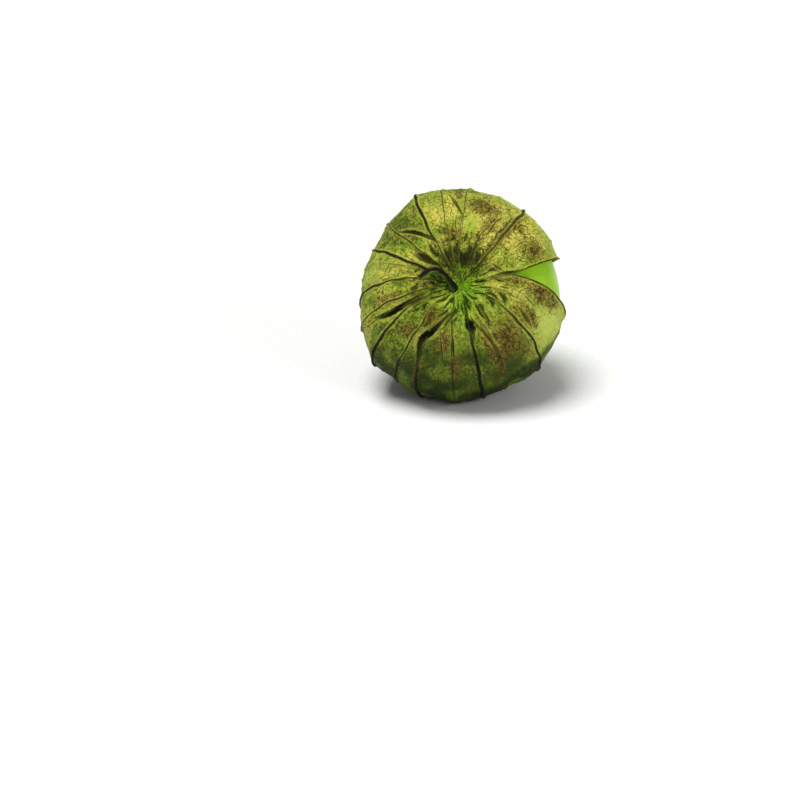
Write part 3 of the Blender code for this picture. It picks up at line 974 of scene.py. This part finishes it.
            # The rib's own ink as far as the equator, then nearer to 0.7, and fainter towards the tips.
            ink = np.interp(polar, (12.0, 45.0, 88.0), rib.ink)
            ink = ink + (0.7 - ink) * 0.7 * smooth_step(95.0, 125.0, polar)
            ink = ink - 0.3 * smooth_step(155.0, 172.0, polar)
            grown = smooth_step(6.0, 16.0, polar) * (1.0 - 0.4 * smooth_step(90.0, 160.0, polar))
            own = on_ball(polar, bearing)
            uneven = 1.0 + 0.2 * np.clip(WaveField(17, 5.0).at(own), -1.5, 1.5)
            width = 1.2 * rib.width * uneven * (0.7 + 0.3 * smooth_step(15.0, 40.0, polar))
            width = width * (1.0 - 0.5 * smooth_step(100.0, 172.0, polar))
            if rib is not EDGE:
                narrow = np.sin(np.radians(np.clip(polar, 8.0, 150.0)))
                bearing = bearing + 0.35 * WaveField(18, 7.0).at(own) / narrow
            extra = np.stack([width, ink, rib.ridge * grown, np.zeros_like(polar)], axis=-1)
            made.append(np.hstack([on_ball(polar, bearing), extra]))
        for stroke in STROKES:
            # A stroke fades out at both ends.
            knots = smooth_line(stroke.knots, 5 * len(stroke.knots))
            fade = np.sin(np.pi * np.clip(np.linspace(0.0, 1.0, len(knots)), 0.04, 0.96)) ** 0.4
            flat = np.zeros(len(knots))
            extra = np.stack([1.1 * knots[:, 2], stroke.ink * fade, flat, stroke.depth * fade], axis=-1)
            made.append(np.hstack([on_ball(knots[:, 0], knots[:, 1]), extra]))
        return made

    @staticmethod
    def nearest(points: np.ndarray, line: np.ndarray) -> tuple[np.ndarray, np.ndarray]:
        """Distance of points from a chain of straight segments, and the chain's own values there.

        Args:
            points: Points, one a row.
            line: Chain points with any further values after x, y and z.

        Returns:
            The distances, and the further values at the nearest places.
        """
        best = np.full(len(points), np.inf)
        value = np.zeros((len(points), line.shape[1] - 3))
        for start, end in zip(line[:-1], line[1:]):
            step = end[:3] - start[:3]
            along = np.clip((points - start[:3]) @ step / (step @ step), 0.0, 1.0)
            gap = np.linalg.norm(points - start[:3] - along[:, None] * step, axis=1)
            closer = gap < best
            best[closer] = gap[closer]
            value[closer] = start[3:] + along[closer, None] * (end[3:] - start[3:])
        return best, value

    def drawn(self, polar: np.ndarray, bearing: np.ndarray) -> tuple[np.ndarray, np.ndarray, np.ndarray]:
        """Relief and ink of all dark lines at the sheet's points.

        At a distance d a ridge rises as height * exp(-(d / ridge_width)^2) and a fold sinks as
        depth * exp(-(d / fold_width)^2).

        Args:
            polar: Polar angles, rows by columns.
            bearing: Bearings, rows by columns.

        Returns:
            The relief in millimetres, the distance to the nearest line over its half width, and its ink.
        """
        points = on_ball(polar, bearing).reshape(-1, 3)
        relief = np.zeros(len(points))
        gap = np.full(len(points), NO_LINE)
        ink = np.zeros(len(points))
        for line in self.lines():
            low = line[:, :3].min(axis=0) - self.line_reach
            high = line[:, :3].max(axis=0) + self.line_reach
            near = ((points > low) & (points < high)).all(axis=1)
            distance, value = self.nearest(points[near], line)
            width, dark, height, depth = value.T
            ridge = height * np.exp(-((distance / self.ridge_width) ** 2))
            relief[near] += ridge - depth * np.exp(-((distance / self.fold_width) ** 2))
            share = distance / width + self.faintness * (1.0 - dark)
            closer = share < gap[near]
            chosen = np.flatnonzero(near)[closer]
            gap[chosen] = share[closer]
            ink[chosen] = dark[closer]
        return relief.reshape(polar.shape), gap.reshape(polar.shape), ink.reshape(polar.shape)

    @staticmethod
    def patched(polar: np.ndarray, bearing: np.ndarray, ovals: Sequence[Patch]) -> np.ndarray:
        """The strongest of several soft ovals at each point: strength * exp(-(x/across)^2 - (y/along)^2).

        Args:
            polar: Polar angles.
            bearing: Bearings.
            ovals: The patches.

        Returns:
            Strengths, 0 where no patch is near.
        """
        total = np.zeros_like(polar)
        for patch in ovals:
            apart = (bearing - patch.bearing + 180.0) % 360.0 - 180.0
            x = apart * DEGREE * MARK_RADIUS * np.sin(np.radians(np.clip(polar, 5.0, 175.0)))
            y = (polar - patch.polar) * DEGREE * LENGTH_RADIUS
            c, s = np.cos(np.radians(patch.tilt)), np.sin(np.radians(patch.tilt))
            far = ((c * x + s * y) / patch.across) ** 2 + ((c * y - s * x) / patch.along) ** 2
            total = np.maximum(total, patch.strength * np.exp(-far))
        return total

    @staticmethod
    def drawn_out(polar: np.ndarray, bearing: np.ndarray) -> np.ndarray:
        """Places in which a pattern runs along the fruit: sqrt(sin p) for its girth and 0.4 p for its length.

        Args:
            polar: Polar angles.
            bearing: Bearings.

        Returns:
            Points in drawn-out millimetres.
        """
        p, b = np.radians(polar), np.radians(bearing)
        girth = GIRTH_RADIUS * np.sqrt(np.sin(p) + 0.02)
        return np.stack([girth * np.cos(b), girth * np.sin(b), GIRTH_RADIUS * p * 0.4], axis=-1)

    def crumple(self, polar: np.ndarray, bearing: np.ndarray) -> np.ndarray:
        """Papery relief: buckles, fibres, puckers, and creases of crease * exp(-|f| / 0.25) for a field f.

        Args:
            polar: Polar angles.
            bearing: Bearings.

        Returns:
            Heights in millimetres.
        """
        across = self.drawn_out(polar, bearing)
        sharp = self.crease * np.exp(-np.abs(WaveField(11, 7.0).at(across)) / 0.25) - 0.05
        buckles = self.buckle * WaveField(12, 11.0).at(across)
        fibres = self.fibre * WaveField(13, 2.2).at(across)
        near_stalk = np.exp(-(((polar - 20.0) / 13.0) ** 2)) * smooth_step(3.0, 9.0, polar)
        puckers = -self.pucker * np.maximum(self.streaks(polar, bearing), 0.0) * near_stalk
        return (sharp + buckles + fibres) * smooth_step(6.0, 22.0, polar) + puckers

    @staticmethod
    def streaks(polar: np.ndarray, bearing: np.ndarray) -> np.ndarray:
        """Fine radial folds round the stalk: a field that changes fast round the fruit and slowly along it.

        Args:
            polar: Polar angles.
            bearing: Bearings.

        Returns:
            The field, of mean 0 and spread 1.
        """
        crooked = 5.0 * WaveField(15, 9.0).at(on_ball(polar, bearing))
        b = np.radians(bearing + crooked)
        path = np.stack([GIRTH_RADIUS * np.cos(b), GIRTH_RADIUS * np.sin(b), 0.30 * polar], axis=-1)
        return WaveField(14, 3.4).at(path)

    def shell(self, place: np.ndarray, rows: np.ndarray) -> dict[str, np.ndarray]:
        """Everything the two sides of the sheet need at one grid's points.

        Args:
            place: Fractional rib numbers of the columns.
            rows: Polar angles of the rows.

        Returns:
            Polar angles, bearings, the outer and inner distances, the lines' gap and ink, and the distance from
            the nearest free edge.
        """
        polar, bearing = self.grid(place, rows)
        edge = np.maximum(self.edge_gap(polar, bearing), 0.0)
        skin = self.form.skin(polar, bearing)
        relief, gap, ink = self.drawn(polar, bearing)
        base = skin + self.lift(place, polar, bearing) + self.sheet + self.crumple(polar, bearing)
        wall = self.edge_wall + (self.wall - self.edge_wall) * smooth_step(0.0, self.edge_reach, edge)
        floor = skin + self.berry_gap
        outer = np.maximum(base + relief, floor + wall)
        inner = np.maximum(base + np.minimum(relief, 0.0) - wall, floor)
        return {
            "polar": polar, "bearing": bearing, "outer": outer, "inner": inner,
            "gap": gap, "ink": ink, "edge": edge,
        }

    @staticmethod
    def numbered(shape: tuple[int, int], closed: int, first: int) -> tuple[np.ndarray, int]:
        """Point numbers of a side: one pole, rows that close on themselves, then rows with two free edges.

        Args:
            shape: Rows and columns.
            closed: How many rows close on themselves, the pole among them.
            first: The first number to use.

        Returns:
            The numbers, rows by columns, and the next free number.
        """
        rows, columns = shape
        own = np.where(np.arange(rows) < closed, columns - 1, columns)
        own[0] = 1
        start = first + np.concatenate([[0], np.cumsum(own)[:-1]])
        index = start[:, None] + np.minimum(np.arange(columns)[None, :], own[:, None] - 1)
        index[1:closed, -1] = index[1:closed, 0]
        index[0, :] = first
        return index, int(first + own.sum())

    @staticmethod
    def rim(index: np.ndarray, closed: int) -> np.ndarray:
        """Runs round a side's free edge: down the split, round the mouth and back up.

        Args:
            index: Point numbers of the side, rows by columns.
            closed: How many rows close on themselves.

        Returns:
            The edge's point numbers, the first one repeated at the end.
        """
        down = index[closed - 1 :, 0]
        across = index[-1, 1:]
        up = index[closed - 1 : -1, -1][::-1]
        return np.concatenate([down, across, up])

    def build(self) -> bpy.types.Object:
        """Builds the husk: a fine outer side, an inner side with half as many rows and columns, and their rim.

        Returns:
            The finished piece.
        """
        place, rows = self.columns(), self.rows()
        closed = int(np.sum(rows <= self.split_start))
        fine = self.shell(place, rows)
        coarse = self.shell(place[::2], rows[::2])
        outer, inner = (
            rested(self.pose.laid(ball(side["polar"], side["bearing"], side[name])), height, self.rounding)
            for side, name, height in ((fine, "outer", 0.0), (coarse, "inner", self.wall))
        )
        out_index, count = self.numbered(outer.shape[:2], closed, 0)
        in_index, total = self.numbered(inner.shape[:2], (closed + 1) // 2, count)
        points = np.zeros((total, 3))
        points[out_index.ravel()] = outer.reshape(-1, 3)
        points[in_index.ravel()] = inner.reshape(-1, 3)
        faces = grid_faces(out_index) + grid_faces(in_index, flip=True)
        rim_out, rim_in = self.rim(out_index, closed), self.rim(in_index, (closed + 1) // 2)
        # The rim: three triangles for each step of the inner side and the two steps of the outer side by it.
        a, b, c = rim_out[:-1:2], rim_out[1::2], rim_out[2::2]
        d, e = rim_in[:-1], rim_in[1:]
        strip = [np.stack(corners, 1) for corners in ((d, b, a), (d, e, b), (e, c, b))]
        faces += np.concatenate(strip).tolist()
        # The inner side is plain: no mark but "inside", and no line near.
        marks = {name: np.zeros(total) for name in HUSK_MARKS}
        marks["inside"][count:] = 1.0
        marks["line_gap"][count:] = NO_LINE
        for name, values in self.marked(fine).items():
            marks[name][out_index.ravel()] = values.ravel()
        piece = Piece("husk_sheet", points, faces, marks)
        LOG.info("husk: %d columns, %d rows, %d faces", len(place), len(rows), len(faces))
        return piece.build(HuskFinish().material())

    def marked(self, side: dict[str, np.ndarray]) -> dict[str, np.ndarray]:
        """The numbers that colour the outer side: lines, bruises, yellow, pale and sappy parts, edges, and
        painted light and shade.

        Args:
            side: What shell gives for that side.

        Returns:
            For each mark but "inside" its values, rows by columns.
        """
        polar, bearing = side["polar"], side["bearing"]
        own = on_ball(polar, bearing)
        loose = 0.8 * np.clip(WaveField(21, 9.0).at(own) - 1.1, 0.0, 0.8) * smooth_step(70.0, 100.0, polar)
        loose = loose + 0.7 * smooth_step(158.0, 174.0, polar)
        lie = self.drawn_out(polar, bearing)
        # Shares: in the hollow round the stalk, low on the fruit as it lies, uneven, on the stalk's lower side,
        # and on the hollow's upper rim.
        hollow = np.exp(-((polar / 19.0) ** 2))
        # Painted shade: darker towards the bottom of the fruit as it lies, unevenly, partly the underside's own
        # darker green.
        low = smooth_step(7.0, -21.0, self.pose.laid(own)[..., 2] - self.pose.centre[2])
        patchy = 0.75 + 0.25 * np.clip(WaveField(24, 8.0).at(own), -1.0, 1.0)
        lower = 0.5 - 0.5 * np.sin(np.radians(bearing - 25.0))
        upper_rim = np.exp(-(((polar - 18.0) / 8.0) ** 2)) * smooth_step(0.25, 0.85, 1.0 - lower)
        grain = 0.25 * WaveField(23, 2.5).at(own)
        # A small painted shadow under the stalk's foot.
        painted_stalk_shadow = self.patched(polar, bearing, patches((215.0, 4.5, 1.6, 1.3, 0.0, 1.2)))
        return {
            "line_gap": side["gap"],
            "line_ink": side["ink"],
            "bruise": np.maximum(self.patched(polar, bearing, BRUISES), loose),
            "yellowing": self.patched(polar, bearing, YELLOWS) - self.patched(polar, bearing, OLIVES)
            + 0.12 * WaveField(22, 14.0).at(own),
            "paleness": self.patched(polar, bearing, PALES),
            # Sappy green in the hollow round the stalk, stronger on its lower wall, which faces up: partly the
            # green of sappy tissue, partly painted light.
            "sap": np.clip(1.3 * hollow * (0.35 + 0.65 * lower) + self.patched(polar, bearing, SAPS), 0.0, 1.0),
            "dry_edge": np.exp(-side["edge"] / 0.7),
            "depth": np.clip(low * patchy, 0.0, 0.95),
            # Painted shade in the radial folds round the stalk, where the puckers sink them.
            "streak": np.clip(self.streaks(polar, bearing), 0.0, 1.5) * np.exp(-(((polar - 16.0) / 18.0) ** 2)),
            # Painted shade on the hollow's upper rim, which faces down, and the painted shadow under the stalk's
            # foot.
            "shade": np.clip(0.85 * upper_rim + grain * upper_rim + painted_stalk_shadow, 0.0, 1.2),
            **{"lie_" + axis: lie[..., i] for i, axis in enumerate("xyz")},
        }


@dataclass
class Berry:
    """The berry: a smooth ball of skin, slightly flattened where it rests.

    Swell is how far its skin swells and sinks, in millimetres, and scar the reach of the scar at the blossom
    end, in degrees: where it fades out, and where it is whole.
    """

    form: FruitForm
    pose: Pose
    columns: int = 160
    rows: int = 110
    rest_height: float = 1.05
    rounding: float = 0.6
    swell: float = 0.06
    scar: tuple[float, float] = (4.5, 1.0)

    def build(self) -> bpy.types.Object:
        """Builds the berry from its rings, the blossom end's scar marked on it.

        Returns:
            The finished piece.
        """
        polar, bearing = np.meshgrid(
            np.linspace(0.0, 180.0, self.rows + 1), np.linspace(0.0, 360.0, self.columns + 1), indexing="ij"
        )
        skin = self.form.skin(polar, bearing)
        swell = self.swell * WaveField(31, 16.0).at(ball(polar, bearing, skin))
        points = rested(self.pose.laid(ball(polar, bearing, skin + swell)), self.rest_height, self.rounding)
        # The poles are one point each, and the last column is the first one again.
        index = np.zeros(polar.shape, int)
        index[1:-1, :-1] = 1 + np.arange((self.rows - 1) * self.columns).reshape(self.rows - 1, -1)
        index[1:-1, -1] = index[1:-1, 0]
        index[-1, :] = 1 + (self.rows - 1) * self.columns
        flat = np.zeros((index[-1, 0] + 1, 3))
        flat[index.ravel()] = points.reshape(-1, 3)
        scar = np.zeros(len(flat))
        scar[index.ravel()] = smooth_step(*self.scar, 180.0 - polar).ravel()
        piece = Piece("berry_skin", flat, grid_faces(index), {"scar": scar})
        LOG.info("berry: %d faces", len(piece.faces))
        return piece.build(BerryFinish().material())


@dataclass
class Stalk:
    """The stalk: a furrowed tube along a bent line, flared at its foot and snapped at its free end.

    The line and the radii along it are in millimetres, the line's heights over the husk's hollow. Furrows are
    shares of the radius, five and three round it, twist is in radians a millimetre and ragged in millimetres.
    """

    husk: Husk
    line: tuple[tuple[float, float, float], ...] = (
        (-1.7, -1.2, 0.0),
        (-2.2, -0.3, 1.8),
        (-3.9, 1.6, 3.9),
        (-6.9, 2.7, 5.3),
        (-10.1, 0.6, 5.5),
    )
    radii: tuple[float, ...] = (1.35, 0.95, 0.7, 0.6, 0.72)
    foot_sunk: float = 0.5
    furrows: tuple[float, float] = (0.07, 0.05)
    knobs: float = 0.05
    twist: float = 0.12
    ragged: tuple[float, float] = (0.22, 0.16)
    tip_sunk: float = 0.25
    rings: int = 90
    sides: int = 56

    def hollow_height(self, across: np.ndarray) -> np.ndarray:
        """Height of the husk's outer side along the fruit's axis, the mean of all bearings.

        Args:
            across: Distances from that axis, in millimetres.

        Returns:
            Heights in millimetres.
        """
        place, polar = np.arange(len(RIBS) + 1.0), np.linspace(0.0, 25.0, 26)
        angles, bearing = self.husk.grid(place, np.append(polar, 160.0))
        outer = self.husk.form.skin(angles, bearing) + self.husk.lift(place, angles, bearing) + self.husk.sheet
        outer = outer[:-1].mean(axis=1)
        return np.interp(across, outer * np.sin(np.radians(polar)), outer * np.cos(np.radians(polar)))

    def build(self) -> bpy.types.Object:
        """Builds the stalk: rings r (1 + 0.07 cos 5a + 0.05 cos 3a) carried along the line, ends closed.

        Returns:
            The finished piece.
        """
        line = smooth_line(self.line, self.rings)
        line[:, 2] += self.hollow_height(np.hypot(*line[0, :2])) - self.foot_sunk
        radius = smooth_line([[r] for r in self.radii], self.rings)[:, 0]
        along = np.gradient(line, axis=0)
        length = np.concatenate([[0.0], np.cumsum(np.linalg.norm(np.diff(line, axis=0), axis=1))])
        along[0] = (0.0, 0.0, 1.0)
        along /= np.linalg.norm(along, axis=1, keepdims=True)
        side = np.cross(along, np.array([0.3, -1.0, 0.1]))
        side /= np.linalg.norm(side, axis=1, keepdims=True)
        across = np.cross(along, side)
        turn = np.linspace(0.0, 2.0 * np.pi, self.sides, endpoint=False)[None, :]
        twist = self.twist * length[:, None]
        five, three = self.furrows
        furrow = 1.0 + five * np.cos(5.0 * turn + twist) + three * np.cos(3.0 * turn - twist)
        places = np.repeat(line[:, None], self.sides, axis=1) + np.cos(turn)[..., None]
        reach = radius[:, None] * (furrow + self.knobs * WaveField(41, 2.6).at(places))
        outward = np.cos(turn)[..., None] * side[:, None] + np.sin(turn)[..., None] * across[:, None]
        rings = line[:, None] + reach[..., None] * outward
        # The foot follows the hollow, a share that fades out by 0.3 of the way, and the broken end is ragged.
        foot = self.hollow_height(np.hypot(rings[0, :, 0], rings[0, :, 1])) - self.foot_sunk - rings[0, :, 2]
        rings[..., 2] += np.clip(1.0 - np.arange(self.rings) / (0.3 * self.rings), 0.0, 1.0)[:, None] * foot
        ragged = self.ragged[0] * np.cos(4.0 * turn[0] + 0.8) + self.ragged[1] * np.cos(9.0 * turn[0])
        rings[-3:] += (np.array([0.3, 0.7, 1.0])[:, None] * ragged)[..., None] * along[-1]
        index = np.arange(self.rings * self.sides).reshape(self.rings, self.sides)
        index = np.column_stack([index, index[:, 0]])
        caps = np.stack([rings[0].mean(axis=0), rings[-1].mean(axis=0) - self.tip_sunk * along[-1]])
        points = np.concatenate([rings.reshape(-1, 3), caps])
        foot_index = np.stack([np.full(self.sides + 1, len(points) - 2), index[0]])
        tip_index = np.stack([index[-1], np.full(self.sides + 1, len(points) - 1)])
        faces = grid_faces(np.concatenate([foot_index, index[1:], tip_index[1:]]), flip=True)
        laid = self.husk.pose.laid(points)
        lean = outward @ self.husk.pose.axes()
        under = np.append(0.5 - 0.5 * lean[..., 2].ravel(), [0.5, 0.5])
        marks = {
            "under": under,
            "around": np.append(np.broadcast_to(turn / (2.0 * np.pi), lean.shape[:2]).ravel(), [0.0, 0.0]),
            "along": np.append(np.broadcast_to(length[:, None], lean.shape[:2]).ravel(), [0.0, length[-1]]),
            "end": np.append(np.zeros(lean.shape[:2]).ravel(), [0.0, 1.0]),
        }
        piece = Piece("stalk_wood", laid, faces, marks)
        LOG.info("stalk: %d faces", len(piece.faces))
        return piece.build(StalkFinish().material())


class LampKind(Enum):
    """Kinds of lamp: daylight, and a disc-shaped soft light."""

    SUN = "SUN"
    AREA = "AREA"


def aimed(name: str, data: Any, place: Sequence[float], target: Sequence[float]) -> bpy.types.Object:
    """Stands a lamp or a camera at a place, turned to a target.

    Args:
        name: The new object's name.
        data: The lamp or the camera.
        place: Where it stands, in metres.
        target: What it looks at, in metres.

    Returns:
        The new object, linked to the scene.
    """
    made = bpy.data.objects.new(name, data)
    made.location = place
    made.rotation_mode = "QUATERNION"
    made.rotation_quaternion = (Vector(target) - Vector(place)).to_track_quat("-Z", "Y")
    bpy.context.scene.collection.objects.link(made)
    return made


@dataclass
class Studio:
    """The pale floor, the soft lights and the camera.

    The camera's distance is in millimetres and angles are in degrees. The floor's radii, the lamps' places, the
    front lamp's size and the place that is lit are in metres.
    """

    pose: Pose
    elevation: float = 20.0
    distance: float = 550.0
    millimetres_a_pixel: float = 0.2633
    centre_pixel: tuple[float, float] = (460.5, 296.0)
    frame_pixels: float = 800.0
    film_width: float = 36.0
    floor_radii: tuple[float, ...] = (0.02, 0.2, 0.6, 1.2, 30.0)
    floor_sides: int = 96
    room: float = 0.25
    backdrop: float = 1.0
    sky: tuple[float, float, float] = (-0.25, -0.20, 1.0)
    sky_power: float = 2.75
    sky_width: float = 32.0
    front: tuple[float, float, float] = (0.50, -0.42, 0.30)
    front_power: float = 1.5
    front_size: float = 0.4
    lit: tuple[float, float, float] = (0.0, 0.0, 0.02)

    def floor(self) -> None:
        """Lays a flat disc of matt white card under the fruit: rings of points round its middle."""
        material, tree, shader = new_material("matt white card", {"Roughness": 0.9, "Specular IOR Level": 0.2})
        place = add(tree, "TexCoord", out="Object")
        sockets = {"grain": add(tree, "TexNoise", {"Vector": place, "Scale": 900.0})}
        grain = Layer("#f9f9f8", {"grain": 1.0}, 0.3, 0.7)
        tree.links.new(layered(tree, "#f5f5f4", (grain,), sockets), shader.inputs["Base Color"])
        turn = np.linspace(0.0, 2.0 * np.pi, self.floor_sides, endpoint=False)
        radii = np.array(self.floor_radii)[:, None] / MM
        across, back = radii * np.cos(turn), radii * np.sin(turn)
        rings = np.stack([across, back, np.zeros_like(across)], axis=-1)
        index = np.arange(across.size).reshape(across.shape)
        faces = grid_faces(np.column_stack([index, index[:, 0]])) + [index[0].tolist()]
        made = Piece("floor", rings.reshape(-1, 3), faces).build(material)

    def lights(self) -> None:
        """Sets up a white room, broad daylight from above left, and a weak soft light from the viewer's side.

        The sun's disc is made very wide, so that its shadows are as soft as under a bright hazy sky.
        """
        world = bpy.data.worlds.new("white room")
        world.use_nodes = True
        tree = world.node_tree
        tree.nodes["Background"].inputs["Color"].default_value = (1.0, 1.0, 1.0, 1.0)
        # The room's light is weak, but past the floor's far edge the room itself looks nearly white.
        seen = add(tree, "LightPath", out="Is Camera Ray")
        spread = {0: seen, 1: self.backdrop - self.room, 2: self.room}
        strength = add(tree, "Math", spread, operation="MULTIPLY_ADD")
        tree.links.new(strength, tree.nodes["Background"].inputs["Strength"])
        bpy.context.scene.world = world
        for name, kind, place, power in (
            ("sky", LampKind.SUN, self.sky, self.sky_power),
            ("front", LampKind.AREA, self.front, self.front_power),
        ):
            lamp = bpy.data.lights.new(name, kind.value)
            lamp.energy = power
            if kind is LampKind.SUN:
                lamp.angle = np.radians(self.sky_width)
            else:
                lamp.shape, lamp.size = "DISK", self.front_size
            aimed(name, lamp, place, self.lit)

    def camera(self) -> None:
        """Sets up the camera at the photograph's angle, so that the fruit stands where it does in the frame."""
        rise = np.radians(self.elevation)
        back = np.array([0.0, -np.cos(rise), np.sin(rise)])
        up = np.array([0.0, np.sin(rise), np.cos(rise)])
        centre = np.array(self.pose.centre)
        across, down = (np.array(self.centre_pixel) - self.frame_pixels / 2.0) * self.millimetres_a_pixel
        aim = centre - across * np.array([1.0, 0.0, 0.0]) + down * up
        data = bpy.data.cameras.new("camera")
        data.sensor_width = self.film_width
        data.lens = self.film_width * self.distance / (self.frame_pixels * self.millimetres_a_pixel)
        # Near enough for close views, far enough for the floor's far edge.
        data.clip_start, data.clip_end = 0.01, 100.0
        place = (centre + back * self.distance) * MM
        bpy.context.scene.camera = aimed("camera", data, place, aim * MM)

    def build(self) -> None:
        """Sets up the whole studio and a plain view transform, so that white card stays white."""
        self.floor()
        self.lights()
        self.camera()
        bpy.context.scene.view_settings.view_transform = "Standard"
        bpy.context.scene.view_settings.look = "None"


def dress(piece: bpy.types.Object, cad_node: str) -> None:
    """Lets a piece stand for a CAD node, which is hidden, and ride on the part's one body; the node's box is
    logged.

    Args:
        piece: The finished piece.
        cad_node: The node's name, which is also its slot's.
    """
    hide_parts(cad_node)
    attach(piece, "root")
    low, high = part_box(cad_node)
    LOG.info("%s stands for %s, %s to %s", piece.name, cad_node, tuple(low), tuple(high))


def main() -> None:
    """Builds the studio and the three pieces, and logs the boxes of the nodes that they stand for."""
    logging.basicConfig(level=logging.INFO)
    pose, form = Pose(), FruitForm()
    Studio(pose).build()
    husk = Husk(form, pose)
    dress(husk.build(), "husk")
    dress(Berry(form, pose).build(), "berry")
    dress(Stalk(husk).build(), "stalk")


if __name__ == "__main__":
    main()
